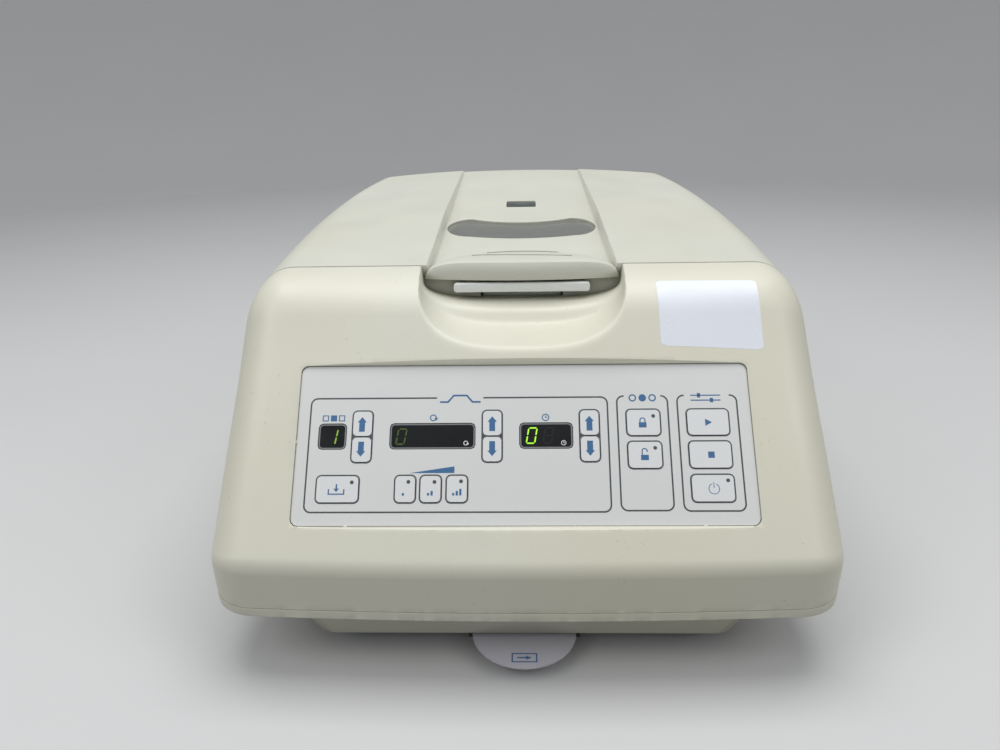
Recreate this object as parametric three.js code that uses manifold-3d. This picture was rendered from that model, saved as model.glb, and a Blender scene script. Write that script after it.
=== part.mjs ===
// Bench cytocentrifuge: a wedge-shaped casing with a sloping control panel, a hinged lid over a
// round chamber, a sealed head on a vertical drive, and a card that slides out under the base.
// Millimetres. +X is right, +Y is the rear, +Z is up. The origin is the centre of the footprint.
import * as THREE from "three";
import { mergeVertices } from "three/addons/utils/BufferGeometryUtils.js";
import Module from "manifold-3d";

const wasm = await Module();
wasm.setup();

// Casing outline, seen from the front and from above
const belt_half_width = 192.5;
const corner_radius = 28;
const belt_z = 66;
const wall = 3;

// Chamber, and the casing's lengths that follow it
const parting_y = -139;
const chamber_side_room = 46.5;
const chamber_front_room = 43;
const chamber_rear_room = 67;
const bowl_radius = belt_half_width - chamber_side_room;
const spindle_y = parting_y + chamber_front_room + bowl_radius;
const lid_rear_y = spindle_y + bowl_radius + chamber_rear_room;
const lid_rear_lean = 10;
const case_tail = 20;
const rear_y = lid_rear_y + case_tail;
const fascia_reach = 144;
const front_y = parting_y - fascia_reach;
const bowl_floor_z = 70;
const chamber_depth = 80;
const parting_z = bowl_floor_z + chamber_depth;

// Casing outline, seen from the side
const apron_foot_setback = 2;
const rim_z = 51;
const crease_rise = 30;
const crease_z = rim_z + crease_rise;
const crease_radius = 16;
const crease_end_radius = 12;
const least_fillet_radius = 0.5;
const lid_height = 102.2;
const roof_rear_z = parting_z + lid_height;
const roof_rear_radius = 45;
const roof_middle_lead = 30;
const roof_middle_y = spindle_y - roof_middle_lead;
const roof_middle_drop = 12.2;
const roof_middle_z = roof_rear_z - roof_middle_drop;
const roof_blend_reach = 30.6;
const fascia_top_setback = 112.1;
const fascia_top_y = front_y + fascia_top_setback;
const fascia_top_drop = 17.82;
const fascia_top_z = roof_middle_z - fascia_top_drop;
const fascia_top_radius = 54;
const fascia_slope = Math.atan2(fascia_top_z - crease_z, fascia_top_setback);

// How the sides lean in, and how front and roof are crowned
const draft_height = 150;
const draft_share = 0.0391;
const draft_curve_share = 0.0141;
const taper_start_setback = 93;
const taper_start_y = front_y + taper_start_setback;
const taper_blend = 100;
const swell_length = 3080;
const taper_share = 0.285;
const taper_run = lid_rear_y - taper_start_y;
const bow_radius = 3000;
const bow_full_setback = 78;
const bow_full_y = front_y + bow_full_setback;
const bow_end_setback = 133;
const bow_end_y = front_y + bow_end_setback;
const roof_crown_radius = 3200;
const roof_crown_start_y = parting_y;
const roof_crown_lag = 10;
const roof_crown_full_y = spindle_y + roof_crown_lag;
const rear_bow_radius = 600;
const rear_bow_lag = 50;
const rear_bow_start_y = spindle_y + rear_bow_lag;
const rear_bow_end_room = 13;
const rear_bow_full_y = lid_rear_y - rear_bow_end_room;

// Where the casing and the lid part
const parting_corner_radius = 12;
const parting_gap = 1;
const rest_gap = 0.3;

// Centre band of the lid, its lip and the finger recess below it
const band_half_width = 64;
const band_front_sink = 23;
const band_front_z = roof_middle_z - band_front_sink;
const band_rear_room = 28;
const band_rear_y = lid_rear_y - band_rear_room;
const band_rear_sink = 4;
const band_rear_z = roof_rear_z - band_rear_sink;
const lip_overhang = 1.5;
const lip_half_width = band_half_width + lip_overhang;
const lip_reach = 8;
const lip_front_y = parting_y - lip_reach;
const lip_end_reach = 1.5;
const lip_end_y = parting_y - lip_end_reach;
const lip_bottom_sink = 0.6;
const lip_bottom_z = band_front_z - lip_bottom_sink;
const lip_rise = 12.5;
const lip_fullness = 6;
const lip_end_rise = 1.2;
const lip_back_reach = 60;
const lip_back_gap = 1.2;
const lip_root_depth = 1;
const lip_section_shares = [
  [0.03, 0.12],
  [0.12, 0],
  [0.34, 0.06],
  [0.62, 0.32],
  [0.85, 0.7],
  [1, 0.9],
];
const recess_side_room = 4;
const recess_half_width = band_half_width + recess_side_room;
const recess_back_side_room = 3;
const recess_back_half_width = band_half_width + recess_back_side_room;
const recess_front_rise = 48;
const recess_ramp_rise = 40;
const recess_step_rise = 28;
const recess_back_rise = 13;
const recess_power = 3;
const recess_front_reach = 77;
const recess_front_y = parting_y - recess_front_reach;
const recess_front_depth = 30.9;
const recess_front_z = lip_bottom_z - recess_front_depth;
const recess_ramp_reach = 24;
const recess_ramp_y = parting_y - recess_ramp_reach;
const recess_ramp_depth = 25.9;
const recess_ramp_z = lip_bottom_z - recess_ramp_depth;
const recess_step_reach = 17;
const recess_step_y = parting_y - recess_step_reach;
const recess_step_depth = 17.4;
const recess_step_z = lip_bottom_z - recess_step_depth;
const recess_back_depth = 11.9;
const recess_back_z = lip_bottom_z - recess_back_depth;

// Windows in the lid's band
const window_side_room = 2.8;
const window_half_width = band_half_width - window_side_room;
const window_lead = 48;
const window_rear_y = spindle_y - window_lead;
const window_length = 48.2;
const window_front_y = window_rear_y - window_length;
const window_front_radius = 130;
const window_rear_radius = 78;
const window_end_radius = 19;
const window_thickness = 2.4;
const window_sink = 0.8;
const port_half_width = 13.2;
const port_lag = 6;
const port_front_y = spindle_y + port_lag;
const port_length = 23;
const port_rear_y = port_front_y + port_length;
const port_corner_radius = 2;

// Control panel: a flat plate let into the fascia
const panel_width = 275.1;
const panel_height = 98.25;
const panel_thickness = 2.5;
const panel_foot_reach = 26.69;
const panel_sink = 3.7;
const slope_cos = Math.cos(fascia_slope);
const slope_sin = Math.sin(fascia_slope);
const panel_foot_y = front_y + panel_foot_reach * slope_cos + panel_sink * slope_sin;
const panel_foot_z = crease_z + panel_foot_reach * slope_sin - panel_sink * slope_cos;
const panel_corner_radius = 4.5;
const panel_ledge = 7;
const key_travel = 0.4;
const key_proud = 0.5;
const key_gap = 0.3;
const key_corner_radius = 2.4;
const display_sink = 0.3;
const board_thickness = 1.6;
const board_margin = 9;
const dome_radius = 3;

// Chamber, drive and head
const bowl_wall = 2;
const bowl_corner_radius = 16;
const bowl_flange = 12;
const bowl_bore_radius = 22;
const bowl_clearance = 1.5;
const seal_height = 5.6;
const seal_width = 7;
const head_gap = 8;
const head_radius = bowl_radius - head_gap;
const head_wall = 2.5;
const head_bottom_z = 84;
const head_top_z = 130;
const head_dish_share = 0.82;
const head_shoulder_share = 0.96;
const hub_radius = 20;
const hub_foot_radius = 30;
const hub_height = 24.5;
const shaft_radius = 8;
const shaft_top_z = 112;
const shaft_chamfer = 4;
const shaft_engagement = 8;
const shoulder_radius = 13;
const shoulder_height = 8;
const carrier_plate_z = 101;
const carrier_inset = 18;
const carrier_radius = head_radius - carrier_inset;
const carrier_rim_height = 12.5;
const carrier_slots = 12;
const carrier_slot_inset = 12;
const carrier_slot_length = 42;
const carrier_slot_foot = carrier_radius - carrier_slot_inset - carrier_slot_length;
const carrier_web = 8.56;
const carrier_slot_width = (2 * Math.PI * carrier_slot_foot) / carrier_slots - carrier_web;
const head_lid_rise = 12;
const head_lid_crown_share = 0.55;
const head_lid_brim_share = 0.9;
const knob_radius = 21;
const knob_height = 20;
const knob_stem_radius = 6;
const knob_grip_shares = [
  [0.8, 0],
  [1, 0.25],
  [1, 0.8],
  [0.85, 1],
];
const motor_radius = 46;
const motor_foot_radius = 41.5;
const motor_neck_radius = 27.5;
const motor_chamfer = 4;
const motor_bottom_z = 21;
const motor_top_z = 63;
const motor_plate_radius = 98;
const motor_plate_z = 36;
const motor_plate_thickness = 4;
const damper_radius = 12;
const damper_waist_radius = 9.6;
const damper_circle = 80;
const damper_count = 3;

// Liner of the lid
const liner_thickness = 2.5;
const liner_flange_reach = 14;
const liner_flange_radius = bowl_radius + liner_flange_reach;
const liner_mouth_inset = 5;
const liner_inner_radius = bowl_radius - liner_mouth_inset;
const liner_side_slant = 23;
const liner_top_radius = liner_inner_radius - liner_side_slant;
const liner_roof_room = 41;
const liner_top_z = roof_middle_z - liner_roof_room;
const liner_post_radius = 6;
const liner_post_inset = 18;
const liner_post_x = liner_top_radius - liner_post_inset;
const liner_post_reach = 58;

// Base tray, feet and card
const tray_floor_z = 12.5;
const tray_rim_z = 44;
const tray_side_inset = 40.5;
const tray_side_slant = 16;
const tray_top_half_width = belt_half_width - tray_side_inset;
const tray_bottom_half_width = tray_top_half_width - tray_side_slant;
const tray_front_inset = 20;
const tray_rear_inset = 23;
const tray_end_slant = 8;
const tray_top_front_y = front_y + tray_front_inset;
const tray_bottom_front_y = tray_top_front_y + tray_end_slant;
const tray_top_rear_y = rear_y - tray_rear_inset;
const tray_bottom_rear_y = tray_top_rear_y - tray_end_slant;
const tray_corner_radius = 14;
const rim_bead = 1.2;
const foot_radius = 18;
const foot_foot_radius = 15;
const foot_side_inset = 28;
const foot_front_inset = 33;
const foot_rear_inset = 30;
const foot_x = tray_bottom_half_width - foot_side_inset;
const foot_front_y = tray_bottom_front_y + foot_front_inset;
const foot_rear_y = tray_bottom_rear_y - foot_rear_inset;
const card_width = 67;
const card_thickness = 1;
const card_z = 9.6;
const card_tip_setback = 1.5;
const card_tip_y = front_y + card_tip_setback;
const card_length = 186.5;
const card_rear_y = card_tip_y + card_length;
const guide_wall = 2;
const guide_front_setback = 33;
const guide_front_y = front_y + guide_front_setback;
const guide_rear_room = 7;
const guide_rear_y = card_rear_y + guide_rear_room;

// Rear panel with the mains entry
const rear_plate_width = 150;
const rear_plate_height = 58;
const rear_plate_thickness = 2;
const rear_plate_z = 66;
const rear_plate_step = 4.5;
const entry_width = 88;
const entry_height = 34;
const entry_flange = 3;
const entry_depth = 34;
const entry_flange_thickness = 2;
const socket_width = 24;
const socket_height = 17;
const socket_depth = 18;
const blade_thickness = 2;
const blade_height = 4;
const blade_length = 12;
const blade_spacing = 7;
const blade_offset = 2.8;
const socket_x = -26;
const rocker_width = 13;
const rocker_height = 21;
const rocker_x = 6;
const rocker_pivot_depth = 3;
const rocker_depth = 7.8;
const rocker_dip = 1.8;
const rocker_tilt_rise = 4.8;
const rocker_face_gap = 1;
const rocker_room_depth = 18;
const drawer_width = 13;
const drawer_height = 24;
const drawer_x = 28;
const drawer_length = 26;
const drawer_grip_reach = 2;

// Hinges of the lid
const hinge_x = 100;
const hinge_setback = 9;
const hinge_axis_y = lid_rear_y + hinge_setback;
const hinge_rise = 11;
const hinge_axis_z = parting_z + hinge_rise;
const hinge_pin_radius = 3;
const hinge_barrel_radius = 6;
const hinge_arm_width = 24;
const hinge_ear_thickness = 4;
const hinge_side_gap = 0.4;
const hinge_bore_gap = 0.3;
const hinge_base_thickness = 4;
const hinge_leaf_thickness = 3;
const hinge_leaf_height = 44;
const pin_head_radius = 4.5;
const pin_head_length = 2;

// Lid latch lever and lock
const lever_half_width = 46;
const lever_bar_depth = 5;
const lever_bar_height = 6.4;
const lever_bar_reach = 7;
const lever_bar_y = parting_y - lever_bar_reach;
const lever_web_half_width = 27;
const lever_web_height = 3.5;
const lever_plate_thickness = 3;
const lever_pivot_setback = 9.5;
const lever_pivot_y = parting_y + lever_pivot_setback;
const lever_pivot_drop = 22.4;
const lever_pivot_z = lip_bottom_z - lever_pivot_drop;
const lever_barrel_radius = 4;
const lever_pin_radius = 2;
const lever_ear_thickness = 3;
const lever_slot_clearance = 1.2;
const lever_lift_gap = 2;
const lock_x = 108;
const lock_drop = 30.4;
const lock_z = lip_bottom_z - lock_drop;
const lock_bolt_radius = 4;
const lock_bolt_length = 34;
const lock_body_width = 28;
const lock_body_length = 26;
const lock_bolt_gap = 0.5;
const lock_tip_inset = 0.6;

// Electronics in the base
const board_side_room = 36;
const main_board_width = 2 * (tray_bottom_half_width - board_side_room);
const main_board_length = 84;
const main_board_setback = 65;
const main_board_y = tray_bottom_front_y + main_board_setback;
const main_board_z = 26;
const standoff_radius = 4;
const standoff_inset = 8;
const board_part_height = 26;
const capacitor_radius = 12;
const capacitor_share = -0.1;
const heat_sink_shares = { left: 0.15, right: 0.3, front: -0.345, rear: 0.095 };
const relay_shares = { left: -0.4, right: -0.275, front: -0.25, rear: 0 };
const transformer_side_room = 38;
const transformer_x = transformer_side_room - tray_bottom_half_width;
const transformer_rear_room = 37;
const transformer_y = tray_bottom_rear_y - transformer_rear_room;
const transformer_width = 62;
const transformer_length = 46;
const transformer_height = 58;
const coil_bulge = 7;
const coil_width = 37;

// Fineness of the outline
const overrun = 40;
const seam_overrun = 1;
const merge_distance = 0.0001;
const same_place = 0.001;
const side_rows = 2;
const corner_steps = 4;
const middle_steps = 6;
const round_steps = 32;
const small_round_steps = 14;

// Booleans between closed shapes

function toSolid(geometry) {
  const plain = geometry.index ? geometry.toNonIndexed() : geometry.clone();
  plain.deleteAttribute("normal");
  plain.deleteAttribute("uv");
  const merged = mergeVertices(plain, merge_distance);
  const index = merged.index.array;
  const kept = [];
  for (let i = 0; i < index.length; i += 3) {
    const [a, b, c] = [index[i], index[i + 1], index[i + 2]];
    if (a !== b && b !== c && a !== c) kept.push(a, b, c);
  }
  const vertProperties = new Float32Array(merged.attributes.position.array);
  const triVerts = new Uint32Array(kept);
  return new wasm.Manifold(new wasm.Mesh({ numProp: 3, vertProperties, triVerts }));
}

function toGeometry(solid) {
  const made = solid.getMesh();
  const geometry = new THREE.BufferGeometry();
  geometry.setAttribute("position", new THREE.BufferAttribute(made.vertProperties, 3));
  geometry.setIndex(new THREE.BufferAttribute(made.triVerts, 1));
  geometry.computeVertexNormals();
  return geometry;
}

const joinAll = (solids) => solids.reduce((sum, one) => sum.add(one));
const cutAll = (solid, cutters) => cutters.reduce((rest, one) => rest.subtract(one), solid);

// A solid box between two corners
function block(low, high) {
  const size = high.map((value, i) => value - low[i]);
  const geometry = new THREE.BoxGeometry(...size);
  geometry.translate(...high.map((value, i) => (value + low[i]) / 2));
  return toSolid(geometry);
}

// A flat outline of [a, b] points, extruded along the third axis from one place to another
const alongX = new THREE.Matrix4().makeBasis(
  new THREE.Vector3(0, 1, 0),
  new THREE.Vector3(0, 0, 1),
  new THREE.Vector3(1, 0, 0),
);
const alongZ = new THREE.Matrix4();

function prism(points, from, to, basis = alongZ, holes = []) {
  const shape = new THREE.Shape(points.map(([a, b]) => new THREE.Vector2(a, b)));
  shape.holes = holes.map((hole) => new THREE.Path(hole.map(([a, b]) => new THREE.Vector2(a, b))));
  const geometry = new THREE.ExtrudeGeometry(shape, { depth: to - from, bevelEnabled: false });
  geometry.translate(0, 0, from);
  geometry.applyMatrix4(basis);
  return toSolid(geometry);
}

// A turned shape about a vertical axis, from [radius, z] points that close on themselves
function turned(points, x, y, steps = round_steps) {
  const closed = [...points];
  if (points[0][0] !== 0) closed.push(points[0]);
  const profile = closed.map(([r, z]) => new THREE.Vector2(r, z));
  const geometry = new THREE.LatheGeometry(profile, steps);
  geometry.rotateX(Math.PI / 2);
  geometry.translate(x, y, 0);
  return toSolid(geometry);
}

// A cylinder between two heights, or lying along X or Y
function rod(radius, from, to, place, axis = "z", steps = small_round_steps) {
  const geometry = new THREE.CylinderGeometry(radius, radius, to - from, steps);
  geometry.translate(0, (from + to) / 2, 0);
  if (axis === "z") geometry.rotateX(Math.PI / 2);
  if (axis === "x") geometry.rotateZ(-Math.PI / 2);
  const [x, y, z] = place;
  geometry.translate(x, y, z);
  return toSolid(geometry);
}

// Points of an arc, from one angle to another
function arc(centre, radius, from, to, steps) {
  return Array.from({ length: steps + 1 }, (_, i) => {
    const angle = from + ((to - from) * i) / steps;
    return [centre[0] + radius * Math.cos(angle), centre[1] + radius * Math.sin(angle)];
  });
}

// A rectangle with rounded corners, centred on a place
function roundedRectangle(width, height, radius, centre = [0, 0], steps = 3) {
  const [x, y] = centre;
  const reach_x = width / 2 - radius;
  const reach_y = height / 2 - radius;
  const corners = [
    [x + reach_x, y + reach_y],
    [x - reach_x, y + reach_y],
    [x - reach_x, y - reach_y],
    [x + reach_x, y - reach_y],
  ];
  return corners.flatMap((corner, i) => {
    const start = (i * Math.PI) / 2;
    return arc(corner, radius, start, start + Math.PI / 2, steps);
  });
}

// Casing surface

// A chain of corner points with fillets, moved inwards by a depth. Each corner holds its place,
// its fillet's radius or reach, and how many steps the fillet and the straight after it take.
function insetChain(corners, depth) {
  const lines = corners.slice(1).map((corner, i) => {
    const [ay, az] = corners[i].at;
    const [by, bz] = corner.at;
    const length = Math.hypot(by - ay, bz - az);
    const direction = [(by - ay) / length, (bz - az) / length];
    const normal = [direction[1], -direction[0]];
    return { at: [ay + normal[0] * depth, az + normal[1] * depth], direction };
  });
  const meet = (first, second) => {
    const [dy, dz] = first.direction;
    const [ey, ez] = second.direction;
    const gap = [second.at[0] - first.at[0], second.at[1] - first.at[1]];
    const share = (gap[0] * ez - gap[1] * ey) / (dy * ez - dz * ey);
    return [first.at[0] + dy * share, first.at[1] + dz * share];
  };
  const foot = (line, z) => {
    const share = (z - line.at[1]) / line.direction[1];
    return [line.at[0] + line.direction[0] * share, z];
  };
  const last = corners.length - 1;
  const points = [foot(lines[0], corners[0].at[1])];
  for (let i = 1; i <= last; i++) {
    const end = i === last;
    const before = points[points.length - 1];
    const corner = end ? foot(lines[last - 1], corners[last].at[1]) : meet(lines[i - 1], lines[i]);
    const [uy, uz] = lines[i - 1].direction;
    const [vy, vz] = end ? lines[i - 1].direction : lines[i].direction;
    const turn = Math.acos(Math.min(1, uy * vy + uz * vz));
    const whole = corners[i].reach ? corners[i].reach / Math.tan(turn / 2) : corners[i].radius;
    const radius = end ? 0 : Math.max(whole - depth, corners[i].least ?? least_fillet_radius);
    const reach = radius * Math.tan(turn / 2);
    const start = [corner[0] - uy * reach, corner[1] - uz * reach];
    const straight = corners[i - 1].straight;
    for (let k = 1; k <= straight; k++) {
      const share = k / straight;
      const along = (axis) => before[axis] + (start[axis] - before[axis]) * share;
      points.push([along(0), along(1)]);
    }
    if (end) break;
    const centre = [start[0] + uz * radius, start[1] - uy * radius];
    for (let k = 1; k <= corners[i].steps; k++) {
      const angle = (turn * k) / corners[i].steps;
      const from_centre = [start[0] - centre[0], start[1] - centre[1]];
      const cos = Math.cos(-angle);
      const sin = Math.sin(-angle);
      points.push([
        centre[0] + from_centre[0] * cos - from_centre[1] * sin,
        centre[1] + from_centre[0] * sin + from_centre[1] * cos,
      ]);
    }
  }
  return points;
}

// Side profile of the casing, from the apron's foot over the roof to the foot of the rear wall
function casingCorners(bottom_z, rear_foot_y, rear_lean) {
  const rear_height = roof_rear_z - parting_z;
  const top_y = rear_foot_y - rear_lean;
  const foot_y = rear_foot_y + (rear_lean * (parting_z - bottom_z)) / rear_height;
  return [
    { at: [front_y + apron_foot_setback, bottom_z], straight: 1 },
    { at: [front_y, crease_z], radius: crease_radius, least: crease_end_radius, steps: 4, straight: 2 },
    { at: [fascia_top_y, fascia_top_z], radius: fascia_top_radius, steps: 6, straight: 2 },
    { at: [roof_middle_y, roof_middle_z], reach: roof_blend_reach, steps: 3, straight: 1 },
    { at: [top_y, roof_rear_z], radius: roof_rear_radius, steps: 5, straight: 1 },
    { at: [foot_y, bottom_z], radius: 0, steps: 0, straight: 0 },
  ];
}

const smooth = (value, low, high) => {
  const share = Math.min(1, Math.max(0, (value - low) / (high - low)));
  return share * share * (3 - 2 * share);
};

// Draft, swelling and tapering sides, bowed front and rear, and crowned roof, applied to a straight casing
function shapePoint(x, y, z) {
  const rise = Math.max(0, z - belt_z) / draft_height;
  const draft = 1 - draft_share * rise - draft_curve_share * rise * rise;
  const past = Math.max(0, y - taper_start_y);
  const blended = past < taper_blend ? (past * past) / (2 * taper_blend) : past - taper_blend / 2;
  const run = past / taper_run;
  const taper = 1 + blended / swell_length - taper_share * run * run * run;
  const bow = (1 - smooth(y, bow_full_y, bow_end_y)) * ((x * x) / (2 * bow_radius));
  const crown = smooth(y, roof_crown_start_y, roof_crown_full_y) * ((x * x) / (2 * roof_crown_radius));
  const high = smooth(z, parting_z, roof_middle_z);
  const rear_bow = high * smooth(y, rear_bow_start_y, rear_bow_full_y) * ((x * x) / (2 * rear_bow_radius));
  return [x * draft * taper, y + bow - rear_bow, z - crown * high];
}

// The whole casing as one solid block, with every surface moved inwards by a depth
function casingBlock(depth, bottom_z, rear_foot_y = rear_y, rear_lean = 0) {
  const corners = casingCorners(bottom_z, rear_foot_y, rear_lean);
  const half = belt_half_width - depth;
  const radius = corner_radius - depth;
  const reach = half - radius;
  const stations = [];
  for (let i = 0; i <= corner_steps; i++) {
    const angle = (Math.PI / 2) * (1 - i / corner_steps);
    stations.push({ x: -reach - radius * Math.sin(angle), inset: radius * (1 - Math.cos(angle)) });
  }
  for (let i = 1; i < middle_steps; i++) {
    stations.push({ x: reach * ((2 * i) / middle_steps - 1), inset: 0 });
  }
  for (let i = 0; i <= corner_steps; i++) {
    const angle = (Math.PI / 2) * (i / corner_steps);
    stations.push({ x: reach + radius * Math.sin(angle), inset: radius * (1 - Math.cos(angle)) });
  }
  const chains = stations.map((station) => insetChain(corners, station.inset + depth));
  const side = chains[0];
  const low_y = side[0][0];
  const high_y = side[side.length - 1][0];
  const rows = side.map(([side_y, side_z], i) => {
    const foot_y = Math.min(high_y, Math.max(low_y, side_y));
    const climb = (x) =>
      Array.from({ length: side_rows }, (_, k) => {
        const share = k / side_rows;
        const y = foot_y + (side_y - foot_y) * share;
        return shapePoint(x, y, bottom_z + (side_z - bottom_z) * share);
      });
    const across = stations.map((station, j) => shapePoint(station.x, ...chains[j][i]));
    return [...climb(-half), ...across, ...climb(half).reverse()];
  });
  return rowsToSolid(rows);
}

// Joins rows of points into a closed skin: a surface over the rows and a flat face under it
function rowsToSolid(rows) {
  const positions = [];
  const face = (a, b, c) => positions.push(...a, ...b, ...c);
  for (let i = 0; i + 1 < rows.length; i++) {
    for (let j = 0; j + 1 < rows[i].length; j++) {
      face(rows[i][j], rows[i][j + 1], rows[i + 1][j + 1]);
      face(rows[i][j], rows[i + 1][j + 1], rows[i + 1][j]);
    }
  }
  const last = rows.length - 1;
  const width = rows[0].length - 1;
  const rim = [
    ...rows[0],
    ...rows.slice(1, last).map((row) => row[width]),
    ...[...rows[last]].reverse(),
    ...rows.slice(1, last).map((row) => row[0]).reverse(),
  ];
  const distinct = rim.filter((point, i) => {
    const next = rim[(i + 1) % rim.length];
    return Math.hypot(point[0] - next[0], point[1] - next[1], point[2] - next[2]) > same_place;
  });
  const flat = distinct.map(([x, y]) => new THREE.Vector2(x, y));
  for (const [a, b, c] of THREE.ShapeUtils.triangulateShape(flat, [])) {
    face(distinct[c], distinct[b], distinct[a]);
  }
  return facingOut(positions);
}

// Joins closed rings of points that follow each other along one axis, with both ends closed
function ringsToSolid(rings, flatten) {
  const positions = [];
  const face = (a, b, c) => positions.push(...a, ...b, ...c);
  rings.slice(1).forEach((ring, i) => {
    const before = rings[i];
    ring.forEach((point, j) => {
      const next = (j + 1) % ring.length;
      face(before[j], point, ring[next]);
      face(before[j], ring[next], before[next]);
    });
  });
  const cap = (ring, turn) => {
    const flat = ring.map((point) => new THREE.Vector2(...flatten(point)));
    const reversed = THREE.ShapeUtils.area(flat) < 0;
    for (const [a, b, c] of THREE.ShapeUtils.triangulateShape(flat, [])) {
      if (turn !== reversed) face(ring[c], ring[b], ring[a]);
      else face(ring[a], ring[b], ring[c]);
    }
  };
  cap(rings[0], false);
  cap(rings[rings.length - 1], true);
  return facingOut(positions);
}

// A closed skin whose corners are given in either turning sense
function facingOut(positions) {
  let volume = 0;
  for (let i = 0; i < positions.length; i += 9) {
    const corner = (k) => new THREE.Vector3().fromArray(positions, i + 3 * k);
    volume += corner(0).dot(corner(1).cross(corner(2)));
  }
  const turned_round = [];
  for (let i = 0; i < positions.length; i += 9) {
    const at = (k) => positions.slice(i + 3 * k, i + 3 * k + 3);
    turned_round.push(...at(0), ...at(2), ...at(1));
  }
  const geometry = new THREE.BufferGeometry();
  const kept = volume < 0 ? turned_round : positions;
  geometry.setAttribute("position", new THREE.Float32BufferAttribute(kept, 3));
  return toSolid(geometry);
}

// The space above and behind the parting line, moved outwards or inwards
function lidZone(grow) {
  const front = parting_y - grow;
  const low = parting_z - grow;
  const radius = parting_corner_radius;
  const corner = arc([front + radius, low + radius], radius, -Math.PI / 2, -Math.PI, 4);
  const top = roof_rear_z + overrun;
  const back = rear_y + overrun;
  const side = belt_half_width + overrun;
  return prism([[back, low], [back, top], [front, top], ...corner.reverse()], -side, side, alongX);
}

// Height of the centre band at a place along the lid
const band_slope = (band_rear_z - band_front_z) / (band_rear_y - parting_y);
const bandZ = (y) => band_front_z + band_slope * (y - parting_y);

// Everything above the centre band's surface, moved down and sideways
function bandCutter(grow) {
  const front = parting_y - overrun;
  const rear = band_rear_y + overrun;
  const top = roof_rear_z + overrun;
  const outline = [
    [front, bandZ(front) - grow],
    [rear, bandZ(rear) - grow],
    [rear, top],
    [front, top],
  ];
  return prism(outline, -(band_half_width + grow), band_half_width + grow, alongX);
}

// Raised lens-shaped lip at the front of the band, from its underside up
function lipSolid() {
  const count = 16;
  const rings = Array.from({ length: count + 1 }, (_, i) => {
    const share = Math.sin((Math.PI / 2) * ((2 * i) / count - 1));
    const x = lip_half_width * share;
    const bulge = 1 - share * share;
    const height = Math.sqrt(Math.max(0, 1 - Math.abs(share) ** lip_fullness));
    const front = lip_end_y + (lip_front_y - lip_end_y) * bulge;
    const back = parting_y + lip_back_gap + lip_back_reach * Math.sqrt(Math.max(0, bulge));
    const top = lip_bottom_z + lip_end_rise + (lip_rise - lip_end_rise) * height;
    const length = back - front;
    const foot = Math.min(bandZ(back), top) - lip_root_depth;
    const fall = top - foot;
    const roof = lip_section_shares.map(([part, drop]) => [x, front + length * part, top - fall * drop]);
    return [
      [x, back, foot - lip_root_depth],
      [x, front, lip_bottom_z],
      [x, front - rest_gap, lip_bottom_z + (top - lip_bottom_z) / 2],
      ...roof,
    ];
  });
  return ringsToSolid(rings, ([, y, z]) => [y, z]);
}

// Scoop for the fingers in front of the lip. Its front part is a flat ramp, its back part climbs.
function recessSolid(grow) {
  const front = recess_half_width;
  const back = recess_back_half_width;
  const stages = [
    { y: recess_front_y, low: recess_front_z, rise: recess_front_rise, width: front },
    { y: recess_ramp_y, low: recess_ramp_z, rise: recess_ramp_rise, width: back },
    { y: recess_step_y, low: recess_step_z, rise: recess_step_rise, width: back },
    { y: parting_y - parting_gap, low: recess_back_z, rise: recess_back_rise, width: back },
    { y: parting_y + grow, low: recess_back_z, rise: recess_back_rise, width: back },
  ];
  const steps = 16;
  const top = roof_middle_z + overrun;
  const rings = stages.map(({ y, low, rise, width }) => {
    const half = width + grow;
    const curve = Array.from({ length: steps + 1 }, (_, i) => {
      const angle = (Math.PI * i) / steps;
      const across = Math.sign(Math.cos(angle)) * Math.abs(Math.cos(angle)) ** (2 / recess_power);
      const down = Math.abs(Math.sin(angle)) ** (2 / recess_power);
      return [half * across, y, low - grow + rise * (1 - down)];
    });
    return [[half, y, top], ...curve, [-half, y, top]];
  });
  return ringsToSolid(rings, ([x, , z]) => [x, z]);
}

// Panel frame: its own x runs along the panel's foot, y up the slope and z out of the panel
const panelPlace = new THREE.Matrix4()
  .makeTranslation(0, panel_foot_y, panel_foot_z)
  .multiply(new THREE.Matrix4().makeRotationX(fascia_slope));

const inPanel = (solid) => solid.transform(panelPlace.elements);

function panelSlab(width, height, radius, from, to) {
  return prism(roundedRectangle(width, height, radius, [0, panel_height / 2]), from, to);
}

// Casing parts

// Rear panel's place: an opening in the rear wall with a seat round it
function rearPanelRoom(grow, front_y, back_y) {
  const half = rear_plate_width / 2 + grow;
  const top = rear_plate_z + rear_plate_height + grow;
  return block([-half, front_y, rear_plate_z - grow], [half, back_y, top]);
}

function lockBore(from, to) {
  return rod(lock_bolt_radius + lock_bolt_gap, from, to, [lock_x, 0, lock_z], "y");
}

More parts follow.
